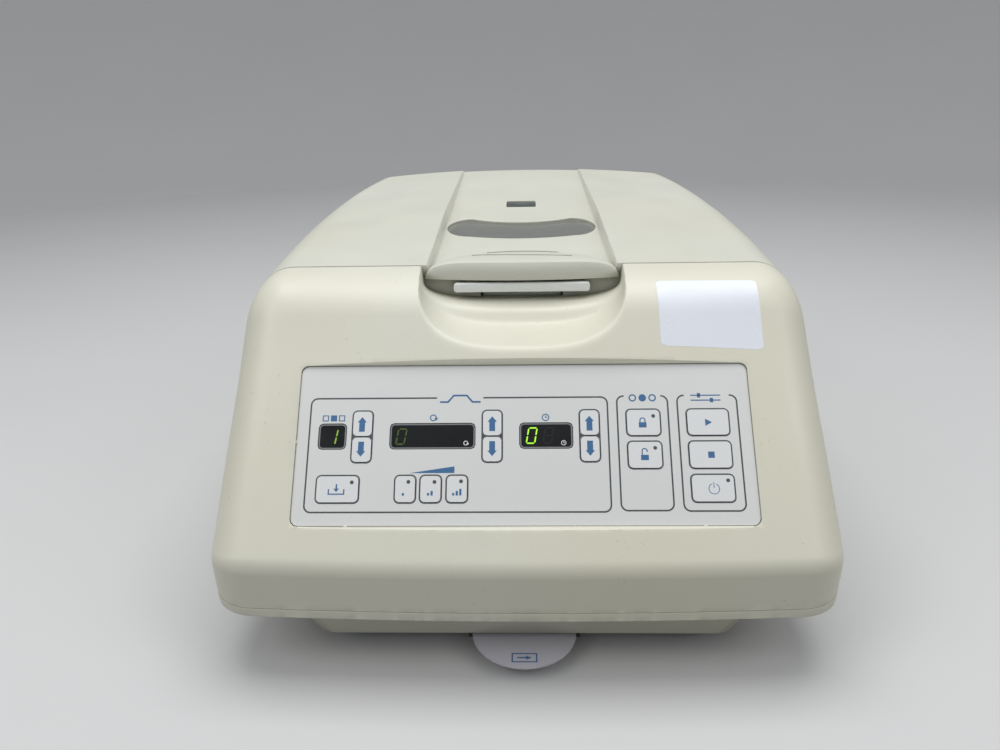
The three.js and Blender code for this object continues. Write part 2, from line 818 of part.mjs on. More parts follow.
function upperCase() {
  const pocket_floor = -panel_thickness - rest_gap;
  const plate_back = rear_y - rear_plate_step - rear_plate_thickness - rest_gap;
  const deck_bore = bowl_radius + bowl_wall + bowl_clearance;
  const panel_seat = panelSlab(
    panel_width + 2 * wall,
    panel_height + 2 * wall,
    panel_corner_radius + wall,
    pocket_floor - wall,
    overrun,
  );
  const panel_pocket = panelSlab(
    panel_width + 2 * rest_gap,
    panel_height + 2 * rest_gap,
    panel_corner_radius,
    pocket_floor,
    overrun,
  );
  const panel_opening = panelSlab(
    panel_width - 2 * panel_ledge,
    panel_height - 2 * panel_ledge,
    panel_corner_radius,
    pocket_floor - overrun,
    overrun,
  );
  const outer = casingBlock(0, rim_z).subtract(lidZone(0));
  const hollow = cutAll(casingBlock(wall, rim_z - seam_overrun), [
    lidZone(wall),
    recessSolid(wall),
    inPanel(panel_seat),
    rearPanelRoom(wall, plate_back - wall, rear_y),
  ]);
  return cutAll(outer.subtract(hollow), [
    recessSolid(0),
    inPanel(panel_pocket),
    inPanel(panel_opening),
    rearPanelRoom(rest_gap, plate_back, rear_y + overrun),
    rearPanelRoom(-panel_ledge, rear_y - overrun, rear_y + overrun),
    rod(deck_bore, -overrun, overrun, [0, spindle_y, parting_z], "z", round_steps),
    lockBore(parting_y - wall - overrun, parting_y + seam_overrun),
  ]);
}

function kidneyOutline(grow) {
  const front = window_front_y - grow;
  const rear = window_rear_y + grow;
  const front_centre = [0, front + window_front_radius];
  const rear_centre = [0, rear + window_rear_radius];
  const end = window_end_radius;
  const end_x = window_half_width - end;
  const front_angle = Math.asin(end_x / window_front_radius);
  const rear_angle = Math.asin(end_x / window_rear_radius);
  const down = -Math.PI / 2;
  const front_arc = arc(front_centre, window_front_radius, down - front_angle, down + front_angle, 8);
  const rear_arc = arc(rear_centre, window_rear_radius, down + rear_angle, down - rear_angle, 8);
  const right_low = front_arc[front_arc.length - 1];
  const right_high = rear_arc[0];
  const middle = (right_low[1] + right_high[1]) / 2;
  const half = (right_high[1] - right_low[1]) / 2;
  const round = (sign) =>
    arc([0, 0], 1, -Math.PI / 2, Math.PI / 2, 6)
      .slice(1, -1)
      .map(([a, b]) => [sign * (end_x + (end + grow) * a), middle + half * b]);
  return [...front_arc, ...round(1), ...rear_arc, ...round(-1).reverse()];
}

function portOutline(grow) {
  const width = 2 * (port_half_width + grow);
  const height = port_rear_y - port_front_y + 2 * grow;
  return roundedRectangle(width, height, port_corner_radius, [0, (port_front_y + port_rear_y) / 2], 2);
}

// Ears inside the lid's front wall that carry the latch lever's pin
function leverEars() {
  const bore = rod(lever_pin_radius + rest_gap, -overrun, overrun, [0, lever_pivot_y, lever_pivot_z], "x");
  return [-1, 1].map((side) => {
    const inside = side * (lever_web_half_width + lever_slot_clearance);
    const outside = inside + side * lever_ear_thickness;
    const front = parting_y + parting_gap + wall / 2;
    const ear = block(
      [Math.min(inside, outside), front, lever_pivot_z - lever_barrel_radius],
      [Math.max(inside, outside), lever_pivot_y + lever_barrel_radius, lever_pivot_z + lever_barrel_radius],
    );
    return ear.subtract(bore);
  });
}

function lidCover() {
  const full = casingBlock(0, rim_z, lid_rear_y, lid_rear_lean).intersect(lidZone(-parting_gap));
  const hollow_zone = lidZone(-parting_gap - wall).translate([0, 0, -overrun]);
  const hollow = casingBlock(wall, rim_z - seam_overrun, lid_rear_y, lid_rear_lean)
    .intersect(hollow_zone)
    .subtract(bandCutter(wall));
  const shell = full.subtract(bandCutter(0)).subtract(hollow);
  const slot_half = lever_web_half_width + lever_slot_clearance;
  const slot = block(
    [-slot_half, lever_bar_y + lever_bar_depth, recess_back_z - parting_gap],
    [slot_half, parting_y + parting_gap + wall + seam_overrun, lip_bottom_z - rest_gap],
  );
  const through = parting_z + overrun;
  return cutAll(joinAll([shell, lipSolid(), ...leverEars()]), [
    slot,
    lockBore(parting_y - seam_overrun, parting_y + parting_gap + wall + seam_overrun),
    prism(kidneyOutline(rest_gap), through, roof_rear_z + overrun),
    prism(portOutline(rest_gap), through, roof_rear_z + overrun),
  ]);
}

// A pane that lies in the centre band, just under its surface
function paneSolid(outline) {
  const slab = (from, to) => {
    const front = parting_y;
    const rear = band_rear_y;
    return prism(
      [
        [front, bandZ(front) - to],
        [rear, bandZ(rear) - to],
        [rear, bandZ(rear) - from],
        [front, bandZ(front) - from],
      ],
      -belt_half_width,
      belt_half_width,
      alongX,
    );
  };
  return prism(outline, 0, roof_rear_z).intersect(slab(window_sink, window_sink + window_thickness));
}

function lidLiner() {
  const flange_low = parting_z + rest_gap + bowl_wall + seal_height + 2 * rest_gap;
  const flange_high = flange_low + liner_thickness;
  const t = liner_thickness;
  const dish = turned(
    [
      [0, liner_top_z],
      [liner_top_radius, liner_top_z],
      [liner_inner_radius, flange_low],
      [liner_flange_radius, flange_low],
      [liner_flange_radius, flange_high],
      [liner_inner_radius + t / 2, flange_high],
      [liner_top_radius + t / 2, liner_top_z + t],
      [0, liner_top_z + t],
    ],
    0,
    spindle_y,
  );
  const room = casingBlock(wall + rest_gap, rim_z, lid_rear_y, lid_rear_lean);
  const posts = [-1, 1].flatMap((side) =>
    [-1, 1].map((end) => {
      const place = [side * liner_post_x, spindle_y + end * liner_post_reach, 0];
      const post = rod(liner_post_radius, liner_top_z + t / 2, roof_rear_z, place);
      return post.intersect(room);
    }),
  );
  const windows = [kidneyOutline(0), portOutline(0)].map((outline) =>
    prism(outline, liner_top_z - seam_overrun, liner_top_z + t + seam_overrun),
  );
  return cutAll(joinAll([dish, ...posts]), windows);
}

function latchLever() {
  const bar_z = lip_bottom_z - lever_lift_gap - lever_bar_height;
  const plate_front = lever_pivot_y - lever_plate_thickness / 2;
  const bar = block(
    [-lever_half_width, lever_bar_y, bar_z],
    [lever_half_width, lever_bar_y + lever_bar_depth, bar_z + lever_bar_height],
  );
  const web = block(
    [-lever_web_half_width, lever_bar_y + seam_overrun, bar_z],
    [lever_web_half_width, plate_front + lever_plate_thickness, bar_z + lever_web_height],
  );
  const plate = block(
    [-lever_web_half_width, plate_front, lever_pivot_z],
    [lever_web_half_width, plate_front + lever_plate_thickness, bar_z + lever_web_height],
  );
  const barrel = rod(
    lever_barrel_radius,
    -lever_web_half_width,
    lever_web_half_width,
    [0, lever_pivot_y, lever_pivot_z],
    "x",
  );
  const pin_reach = lever_web_half_width + lever_slot_clearance + lever_ear_thickness;
  const pin = rod(lever_pin_radius, -pin_reach, pin_reach, [0, lever_pivot_y, lever_pivot_z], "x");
  return joinAll([bar, web, plate, barrel, pin]);
}

// Base parts

// A tub with sloping walls, wider at the top
function tub(grow, low, high) {
  const ring = (z) => {
    const share = (z - tray_floor_z) / (tray_rim_z - tray_floor_z);
    const between = (a, b) => a + (b - a) * share;
    const half = between(tray_bottom_half_width, tray_top_half_width) - grow;
    const front = between(tray_bottom_front_y, tray_top_front_y) + grow;
    const rear = between(tray_bottom_rear_y, tray_top_rear_y) - grow;
    const outline = roundedRectangle(2 * half, rear - front, tray_corner_radius, [0, (front + rear) / 2]);
    return outline.map(([x, y]) => [x, y < 0 ? y + (x * x) / (2 * bow_radius) : y, z]);
  };
  return ringsToSolid([ring(high), ring(low)], ([x, y]) => [x, y]);
}

function baseTray() {
  const side = belt_half_width + overrun;
  const slab = (z) => block([-side, front_y - overrun, z], [side, rear_y + overrun, rim_z - rest_gap]);
  const rim = casingBlock(0, tray_rim_z + rim_bead).intersect(slab(tray_rim_z + rim_bead));
  const bead = casingBlock(rim_bead, tray_rim_z).intersect(slab(tray_rim_z));
  const body = joinAll([rim, bead, tub(0, tray_floor_z, tray_rim_z + rim_bead)]);
  return body.subtract(tub(wall, tray_floor_z + wall, rim_z + seam_overrun));
}

function foot(x, y) {
  const top = tray_floor_z - rest_gap;
  return turned(
    [
      [0, 0],
      [foot_foot_radius, 0],
      [foot_radius, top / 3],
      [foot_radius, top],
      [0, top],
    ],
    x,
    y,
    small_round_steps,
  );
}

function cardGuide() {
  const half = card_width / 2 + rest_gap + guide_wall;
  const top = tray_floor_z - rest_gap;
  const low = card_z - rest_gap - guide_wall;
  const body = block([-half, guide_front_y, low], [half, guide_rear_y, top]);
  const slot = block(
    [-half + guide_wall, guide_front_y - overrun, card_z - rest_gap],
    [half - guide_wall, guide_rear_y - guide_wall, card_z + card_thickness + rest_gap],
  );
  return body.subtract(slot);
}

function programCard() {
  const radius = card_width / 2;
  const tab = arc([0, card_tip_y + radius], radius, Math.PI, 2 * Math.PI, 16);
  return prism([...tab, [radius, card_rear_y], [-radius, card_rear_y]], card_z, card_z + card_thickness);
}

// Control panel parts, all in the panel's own frame

// Left and right edges of each column as shares of the panel's width, from its middle
const column_shares = {
  program_keys: [-0.3755, -0.334],
  speed_keys: [-0.0877, -0.0469],
  time_keys: [0.1264, 0.1668],
  save_key: [-0.4477, -0.3574],
  slow_ramp_key: [-0.2765, -0.2339],
  medium_ramp_key: [-0.2217, -0.1783],
  fast_ramp_key: [-0.1646, -0.1213],
  control_keys: [0.361, 0.4498],
  lamps: [0.2292, 0.3004],
  program_window: [-0.4518, -0.3904],
  speed_window: [-0.2931, -0.1051],
  time_window: [-0.0069, 0.1094],
};

// Lower and upper edges of each row as shares of the panel's height, from its foot
const row_shares = {
  arrow_up: [0.548, 0.7027],
  arrow_down: [0.3862, 0.5379],
  top: [0.545, 0.7038],
  middle: [0.3428, 0.5025],
  bottom: [0.1405, 0.2983],
  windows: [0.4661, 0.6259],
};

function placeOf(column, row) {
  const [left, right] = column_shares[column].map((share) => share * panel_width);
  const [low, high] = row_shares[row].map((share) => share * panel_height);
  return { left, right, low, high };
}

const key_places = {
  program_up_key: placeOf("program_keys", "arrow_up"),
  program_down_key: placeOf("program_keys", "arrow_down"),
  speed_up_key: placeOf("speed_keys", "arrow_up"),
  speed_down_key: placeOf("speed_keys", "arrow_down"),
  time_up_key: placeOf("time_keys", "arrow_up"),
  time_down_key: placeOf("time_keys", "arrow_down"),
  save_key: placeOf("save_key", "bottom"),
  slow_ramp_key: placeOf("slow_ramp_key", "bottom"),
  medium_ramp_key: placeOf("medium_ramp_key", "bottom"),
  fast_ramp_key: placeOf("fast_ramp_key", "bottom"),
  start_key: placeOf("control_keys", "top"),
  stop_key: placeOf("control_keys", "middle"),
  power_key: placeOf("control_keys", "bottom"),
};

const lamp_places = {
  lid_locked_lamp: placeOf("lamps", "top"),
  lid_open_lamp: placeOf("lamps", "middle"),
};

const display_places = {
  program_display: placeOf("program_window", "windows"),
  speed_display: placeOf("speed_window", "windows"),
  time_display: placeOf("time_window", "windows"),
};

// A rounded tile over a place of the panel, grown by a clearance
function tile(place, grow, from, to, radius = key_corner_radius) {
  const centre = [(place.left + place.right) / 2, (place.low + place.high) / 2];
  const outline = roundedRectangle(
    place.right - place.left + 2 * grow,
    place.high - place.low + 2 * grow,
    radius + grow,
    centre,
    2,
  );
  return prism(outline, from, to);
}

const keySolid = (place) => tile(place, 0, -panel_thickness + key_gap, key_proud);
const boardTop = () => -panel_thickness - wall - 2 * rest_gap;
const displaySolid = (place) => tile(place, 0, boardTop() + rest_gap, -display_sink);

function controlPanel() {
  const plate = panelSlab(panel_width, panel_height, panel_corner_radius, -panel_thickness, 0);
  const places = [key_places, lamp_places, display_places].flatMap((set) => Object.values(set));
  const holes = places.map((place) => tile(place, key_gap, -overrun, overrun));
  return cutAll(plate, holes);
}

function keypadBoard() {
  const top = boardTop();
  const board = panelSlab(
    panel_width - 2 * board_margin + 2 * panel_ledge,
    panel_height - 2 * board_margin + 2 * panel_ledge,
    panel_corner_radius,
    top - board_thickness,
    top,
  );
  const dome_top = -panel_thickness + key_gap - key_travel - rest_gap;
  const posts = (places, height) =>
    Object.values(places).map((place) => {
      const centre = [(place.left + place.right) / 2, (place.low + place.high) / 2, 0];
      return rod(dome_radius, top - board_thickness / 2, height, centre, "z", 8);
    });
  return joinAll([board, ...posts(key_places, dome_top), ...posts(lamp_places, -panel_thickness)]);
}

// Chamber, drive and head

function chamberBowl() {
  const inner = bowl_radius;
  const outer = bowl_radius + bowl_wall;
  const floor_top = bowl_floor_z + bowl_wall;
  const top = parting_z + rest_gap + bowl_wall;
  const r = bowl_corner_radius;
  const inner_corner = arc([inner - r, floor_top + r], r, -Math.PI / 2, 0, 4);
  const outer_corner = arc([inner - r, floor_top + r], r + bowl_wall, 0, -Math.PI / 2, 4);
  return turned(
    [
      [bowl_bore_radius, bowl_floor_z],
      ...[...outer_corner].reverse(),
      [outer, top - bowl_wall],
      [outer + bowl_flange, top - bowl_wall],
      [outer + bowl_flange, top],
      [inner, top],
      ...[...inner_corner].reverse(),
      [bowl_bore_radius, floor_top],
    ],
    0,
    spindle_y,
  );
}

function bowlSeal() {
  const low = parting_z + 2 * rest_gap + bowl_wall;
  const inner = bowl_radius + bowl_wall;
  const crest = seal_width / 2;
  return turned(
    [
      [inner, low],
      [inner + seal_width, low],
      [inner + seal_width, low + seal_height / 2],
      [inner + crest + crest / 2, low + seal_height],
      [inner + crest / 2, low + seal_height],
      [inner, low + seal_height / 2],
    ],
    0,
    spindle_y,
  );
}

function driveShaft() {
  const seat = head_bottom_z - rest_gap;
  const foot = motor_top_z - shaft_engagement;
  return turned(
    [
      [0, foot],
      [shaft_radius, foot],
      [shaft_radius, seat - shoulder_height],
      [shoulder_radius, seat - shoulder_height],
      [shoulder_radius, seat],
      [shaft_radius, seat],
      [shaft_radius, shaft_top_z - shaft_chamfer],
      [shaft_radius - shaft_chamfer, shaft_top_z],
      [0, shaft_top_z],
    ],
    0,
    spindle_y,
    small_round_steps,
  );
}

function rotorBase() {
  const bore = shaft_radius + rest_gap;
  const t = head_wall;
  const low = head_bottom_z;
  const mid = (head_bottom_z + head_top_z) / 2;
  const dish = head_radius * head_dish_share;
  const shoulder = head_radius * head_shoulder_share;
  return turned(
    [
      [bore, low],
      [hub_foot_radius, low],
      [dish, low + t],
      [shoulder, mid - 2 * t],
      [head_radius, mid + 2 * t],
      [head_radius, head_top_z],
      [head_radius - t, head_top_z],
      [head_radius - t, mid + 2 * t],
      [shoulder - t, mid - t],
      [dish - t, low + 2 * t],
      [hub_radius, low + t],
      [hub_radius, low + hub_height],
      [bore, low + hub_height],
    ],
    0,
    spindle_y,
  );
}

function rotorCarrier() {
  const inner = hub_radius + rest_gap;
  const t = head_wall;
  const collar_low = head_bottom_z + t + rest_gap;
  const plate = carrier_plate_z;
  const body = turned(
    [
      [inner, collar_low],
      [inner + t, collar_low],
      [inner + t, plate],
      [carrier_radius - t, plate],
      [carrier_radius - t, plate - t],
      [carrier_radius, plate - t],
      [carrier_radius, plate + carrier_rim_height],
      [carrier_radius - t, plate + carrier_rim_height],
      [carrier_radius - t, plate + t],
      [inner, plate + t],
    ],
    0,
    spindle_y,
  );
  const slot_room = turned(
    [
      [0, plate - t],
      [carrier_radius - 2 * t, plate - t],
      [carrier_radius - 2 * t, plate + 2 * t],
      [0, plate + 2 * t],
    ],
    0,
    spindle_y,
  );
  const slots = Array.from({ length: carrier_slots }, (_, i) => {
    const slot = new THREE.BoxGeometry(carrier_slot_length, carrier_slot_width, overrun);
    slot.translate(carrier_radius - carrier_slot_inset - carrier_slot_length / 2, 0, plate);
    slot.rotateZ((2 * Math.PI * (i + 0.5)) / carrier_slots);
    slot.translate(0, spindle_y, 0);
    return toSolid(slot).intersect(slot_room);
  });
  return cutAll(body, slots);
}

function rotorLid() {
  const t = head_wall;
  const low = head_top_z + rest_gap;
  const bore = knob_stem_radius + rest_gap;
  const crown = head_radius * head_lid_crown_share;
  const brim = head_radius * head_lid_brim_share;
  return turned(
    [
      [bore, low + head_lid_rise - t],
      [crown, low + head_lid_rise - 2 * t],
      [brim, low],
      [head_radius, low],
      [head_radius, low + t],
      [brim + t, low + t],
      [crown, low + head_lid_rise - t],
      [bore, low + head_lid_rise],
    ],
    0,
    spindle_y,
  );
}

function rotorKnob() {
  const seat = head_top_z + rest_gap + head_lid_rise + rest_gap;
  const grip = knob_grip_shares.map(([out, up]) => [knob_radius * out, seat + knob_height * up]);
  return turned(
    [
      [0, shaft_top_z + rest_gap],
      [knob_stem_radius, shaft_top_z + rest_gap],
      [knob_stem_radius, seat],
      ...grip,
      [0, seat + knob_height],
    ],
    0,
    spindle_y,
    24,
  );
}

function motorHousing() {
  const bore = shaft_radius + rest_gap;
  const depth = motor_top_z - shaft_engagement - rest_gap;
  return turned(
    [
      [0, motor_bottom_z],
      [motor_foot_radius, motor_bottom_z],
      [motor_radius, motor_bottom_z + motor_chamfer],
      [motor_radius, motor_top_z - 2 * motor_chamfer],
      [motor_neck_radius, motor_top_z - motor_chamfer],
      [motor_neck_radius, motor_top_z],
      [bore, motor_top_z],
      [bore, depth],
      [0, depth],
    ],
    0,
    spindle_y,
  );
}

function motorPlate() {
  const bore = motor_radius + rest_gap;
  return turned(
    [
      [bore, motor_plate_z],
      [motor_plate_radius, motor_plate_z],
      [motor_plate_radius, motor_plate_z + motor_plate_thickness],
      [bore, motor_plate_z + motor_plate_thickness],
    ],
    0,
    spindle_y,
  );
}

function damper(index) {
  const angle = Math.PI / 2 + (2 * Math.PI * index) / damper_count;
  const low = tray_floor_z + wall + rest_gap;
  const high = motor_plate_z - rest_gap;
  return turned(
    [
      [0, low],
      [damper_radius, low],
      [damper_waist_radius, (low + high) / 2],
      [damper_radius, high],
      [0, high],
    ],
    damper_circle * Math.cos(angle),
    spindle_y + damper_circle * Math.sin(angle),
    small_round_steps,
  );
}

// Electronics

function mainBoard() {
  const half_x = main_board_width / 2;
  const half_y = main_board_length / 2;
  const floor = tray_floor_z + wall + rest_gap;
  const board = block(
    [-half_x, main_board_y - half_y, main_board_z],
    [half_x, main_board_y + half_y, main_board_z + board_thickness],
  );
  const standoffs = [-1, 1].flatMap((side) =>
    [-1, 1].map((end) => {
      const x = side * (half_x - standoff_inset);
      const y = main_board_y + end * (half_y - standoff_inset);
      return rod(standoff_radius, floor, main_board_z + board_thickness / 2, [x, y, 0], "z", 8);
    }),
  );
  const top = main_board_z + board_thickness / 2;
  const part = ({ left, right, front, rear }, height) =>
    block(
      [left * main_board_width, main_board_y + front * main_board_length, top],
      [right * main_board_width, main_board_y + rear * main_board_length, top + height],
    );
  const capacitor_place = [capacitor_share * main_board_width, main_board_y, 0];
  const capacitor = rod(capacitor_radius, top, top + board_part_height, capacitor_place);
  const parts = [
    part(heat_sink_shares, board_part_height),
    part(relay_shares, board_part_height / 2),
    capacitor,
  ];
  return joinAll([board, ...standoffs, ...parts]);
}

function transformer() {
  const floor = tray_floor_z + wall + rest_gap;
  const half_x = transformer_width / 2;
  const half_y = transformer_length / 2;
  const core = block(
    [transformer_x - half_x, transformer_y - half_y + coil_bulge, floor],
    [transformer_x + half_x, transformer_y + half_y - coil_bulge, floor + transformer_height],
  );
  const coil = block(
    [transformer_x - coil_width / 2, transformer_y - half_y, floor + coil_bulge],
    [transformer_x + coil_width / 2, transformer_y + half_y, floor + transformer_height - coil_bulge],
  );
  return core.add(coil);
}

function lockSolenoid() {
  const half = lock_body_width / 2;
  const rear = parting_y - wall - rest_gap;
  const body = block(
    [lock_x - half, rear - lock_body_length, lock_z - half],
    [lock_x + half, rear, lock_z + half],
  );
  return body.subtract(lockBore(rear - lock_body_length - overrun, rear + overrun));
}

function lockBolt() {
  const tip = parting_y - lock_tip_inset;
  return rod(lock_bolt_radius, tip - lock_bolt_length, tip, [lock_x, 0, lock_z], "y");
}

// Rear panel and mains entry

const plateFace = () => rear_y - rear_plate_step;
const entryCentreZ = () => rear_plate_z + rear_plate_height / 2;

function rearPanel() {
  const face = plateFace();
  const plate = block(
    [-rear_plate_width / 2, face - rear_plate_thickness, rear_plate_z],
    [rear_plate_width / 2, face, rear_plate_z + rear_plate_height],
  );
  const hole = block(
    [-entry_width / 2 - rest_gap, face - overrun, entryCentreZ() - entry_height / 2 - rest_gap],
    [entry_width / 2 + rest_gap, face + overrun, entryCentreZ() + entry_height / 2 + rest_gap],
  );
  return plate.subtract(hole);
}

function powerInlet() {
  const face = plateFace();
  const z = entryCentreZ();
  const body = block(
    [-entry_width / 2, face - entry_depth, z - entry_height / 2],
    [entry_width / 2, face + rest_gap + seam_overrun, z + entry_height / 2],
  );
  const front = face + rest_gap + entry_flange_thickness;
  const flange = block(
    [-entry_width / 2 - entry_flange, face + rest_gap, z - entry_height / 2 - entry_flange],
    [entry_width / 2 + entry_flange, front, z + entry_height / 2 + entry_flange],
  );
  const hollow = (x, width, height, depth) =>
    block(
      [x - width / 2, front - depth, z - height / 2],
      [x + width / 2, front + seam_overrun, z + height / 2],
    );
  const rocker_room = hollow(
    rocker_x,
    rocker_width + 2 * rest_gap,
    rocker_height + 2 * rest_gap,
    rocker_room_depth,
  );
  const drawer_room = hollow(
    drawer_x,
    drawer_width + 2 * rest_gap,
    drawer_height + 2 * rest_gap,
    drawer_length + rest_gap,
  );
  const socket = hollow(socket_x, socket_width, socket_height, socket_depth);
  const blade_foot = front - socket_depth - seam_overrun;
  const blade = (dx, dz) =>
    block(
      [socket_x + dx - blade_thickness / 2, blade_foot, z + dz - blade_height / 2],
      [socket_x + dx + blade_thickness / 2, blade_foot + blade_length, z + dz + blade_height / 2],
    );
  const blades = [
    blade(-blade_spacing, -blade_offset),
    blade(0, blade_offset),
    blade(blade_spacing, -blade_offset),
  ];
  return joinAll([cutAll(body.add(flange), [rocker_room, drawer_room, socket]), ...blades]);
}

// The rocker's face is a shallow V, with its pivot behind the middle
function powerRocker() {
  const front = plateFace() + rest_gap + entry_flange_thickness;
  const z = entryCentreZ();
  const half = rocker_height / 2 - rocker_face_gap;
  const back_half = half - 2 * rocker_face_gap;
  const pivot = front - rocker_pivot_depth;
  const back = front - rocker_depth;
  const outline = [
    [back, z - back_half],
    [pivot + rocker_dip, z - half],
    [pivot + rocker_dip, z],
    [pivot + rocker_tilt_rise, z + half],
    [back, z + back_half],
  ];
  return prism(outline, rocker_x - rocker_width / 2, rocker_x + rocker_width / 2, alongX);
}

function fuseDrawer() {
  const front = plateFace() + rest_gap + entry_flange_thickness;
  const z = entryCentreZ();
  const body = block(
    [drawer_x - drawer_width / 2, front - drawer_length, z - drawer_height / 2],
    [drawer_x + drawer_width / 2, front + rest_gap, z + drawer_height / 2],
  );
  const grip = block(
    [drawer_x - drawer_width / 4, front - seam_overrun, z + drawer_height / 3],
    [drawer_x + drawer_width / 4, front + drawer_grip_reach, z + drawer_height / 2],
  );
  return body.add(grip);
}

// Hinges

function hingeBracket(x) {
  const low = parting_z + rest_gap;
  const half = hinge_arm_width / 2 + hinge_side_gap;
  const front = hinge_axis_y - hinge_barrel_radius - rest_gap;
  const back = hinge_axis_y + hinge_barrel_radius + rest_gap;
  const base = block(
    [x - half - hinge_ear_thickness, front, low],
    [x + half + hinge_ear_thickness, back, low + hinge_base_thickness],
  );
  const ear = (side) => {
    const near = x + side * half;
    const far = near + side * hinge_ear_thickness;
    const round = arc([hinge_axis_y, hinge_axis_z], hinge_barrel_radius, 0, Math.PI, 8);
    return prism(
      [
        [front, low + hinge_base_thickness / 2],
        [back, low + hinge_base_thickness / 2],
        ...round,
      ],
      Math.min(near, far),
      Math.max(near, far),
      alongX,
    );
  };
  const bore = rod(
    hinge_pin_radius + hinge_bore_gap,
    -overrun,
    overrun,
    [x, hinge_axis_y, hinge_axis_z],
    "x",
  );
  return joinAll([base, ear(-1), ear(1)]).subtract(bore);
}

function hingePin(x) {
  const half = hinge_arm_width / 2 + hinge_side_gap + hinge_ear_thickness + rest_gap;
  const place = [x, hinge_axis_y, hinge_axis_z];
  const shank = rod(hinge_pin_radius, -half, half, place, "x");
  const head = rod(pin_head_radius, half, half + pin_head_length, place, "x");
  return shank.add(head);
}

// Outer line of the lid's rear wall at a height
const lid_rear_slope = lid_rear_lean / (roof_rear_z - parting_z);
const lidRearY = (z) => lid_rear_y - lid_rear_slope * (z - parting_z);

function hingeArm(x) {
  const half = hinge_arm_width / 2;
  const barrel = rod(hinge_barrel_radius, -half, half, [x, hinge_axis_y, hinge_axis_z], "x");
  const barrel_side = hinge_barrel_radius * Math.SQRT1_2;
  const leaf_low = hinge_axis_z - hinge_barrel_radius / 2;
  const leaf_high = leaf_low + hinge_leaf_height;
  const inner = (z) => lidRearY(z) + rest_gap;
  const outline = [
    [inner(leaf_low), leaf_low],
    [hinge_axis_y, leaf_low],
    [hinge_axis_y + barrel_side, hinge_axis_z + barrel_side],
    [inner(leaf_low) + hinge_leaf_thickness, leaf_low + hinge_leaf_height / 3],
    [inner(leaf_high) + hinge_leaf_thickness, leaf_high],
    [inner(leaf_high), leaf_high],
  ];
  const leaf = prism(outline, x - half, x + half, alongX);
  const bore = rod(
    hinge_pin_radius + hinge_bore_gap,
    -overrun,
    overrun,
    [x, hinge_axis_y, hinge_axis_z],
    "x",
  );
  return barrel.add(leaf).subtract(bore);
}

// Assembly

const finishes = {
  cream: { color: 0xd6d5c6, roughness: 0.5, metalness: 0 },
  lid_cream: { color: 0xd2d2c6, roughness: 0.5, metalness: 0 },
  panel_grey: { color: 0xd8d9d9, roughness: 0.45, metalness: 0 },
  key_grey: { color: 0xdfe0e0, roughness: 0.45, metalness: 0 },
  latch_white: { color: 0xe4e6e6, roughness: 0.4, metalness: 0 },
  rubber: { color: 0x1c1c1c, roughness: 0.9, metalness: 0 },
  display: { color: 0x0a0c0a, roughness: 0.2, metalness: 0 },
  smoked: { color: 0x8f9290, roughness: 0.15, metalness: 0 },
  steel: { color: 0xb9bbbd, roughness: 0.35, metalness: 1 },
  dark_steel: { color: 0x5b5d60, roughness: 0.45, metalness: 1 },
  aluminium: { color: 0xc3c5c6, roughness: 0.4, metalness: 1 },
  board: { color: 0x1f5b3a, roughness: 0.6, metalness: 0 },
  black: { color: 0x1a1a1b, roughness: 0.5, metalness: 0 },
  grey: { color: 0x8d8f91, roughness: 0.6, metalness: 0 },
  card_white: { color: 0xdcdcde, roughness: 0.5, metalness: 0 },
};

const makeMaterial = ([name, finish]) => [name, new THREE.MeshStandardMaterial({ name, ...finish })];
const materials = Object.fromEntries(Object.entries(finishes).map(makeMaterial));

function piece(name, solid, finish) {
  const mesh = new THREE.Mesh(toGeometry(solid), materials[finish]);
  mesh.name = name;
  return mesh;
}

function panelGroup() {
  const group = new THREE.Group();
  group.position.set(0, panel_foot_y, panel_foot_z);
  group.rotation.x = fascia_slope;
  group.add(piece("control_panel", controlPanel(), "panel_grey"));
  group.add(piece("keypad_board", keypadBoard(), "board"));
  const addEach = (places, solidOf, finish) =>
    Object.entries(places).forEach(([name, place]) => group.add(piece(name, solidOf(place), finish)));
  addEach(display_places, displaySolid, "display");
  addEach(lamp_places, keySolid, "key_grey");
  addEach(key_places, keySolid, "key_grey");
  return group;
}

function baseGroup() {
  const group = new THREE.Group();
  group.add(piece("base_tray", baseTray(), "cream"));
  group.add(piece("upper_case", upperCase(), "cream"));
  for (const [end, y] of Object.entries({ front: foot_front_y, rear: foot_rear_y })) {
    group.add(piece(`${end}_left_foot`, foot(-foot_x, y), "rubber"));
    group.add(piece(`${end}_right_foot`, foot(foot_x, y), "rubber"));
  }
  group.add(piece("card_guide", cardGuide(), "grey"));
  group.add(piece("program_card", programCard(), "card_white"));
  group.add(piece("rear_panel", rearPanel(), "aluminium"));
  group.add(piece("power_inlet", powerInlet(), "black"));
  group.add(piece("power_rocker", powerRocker(), "black"));
  group.add(piece("fuse_drawer", fuseDrawer(), "black"));
  group.add(piece("main_board", mainBoard(), "board"));
  group.add(piece("transformer", transformer(), "dark_steel"));
  group.add(piece("lock_solenoid", lockSolenoid(), "dark_steel"));
  group.add(piece("lock_bolt", lockBolt(), "steel"));
  return group;
}

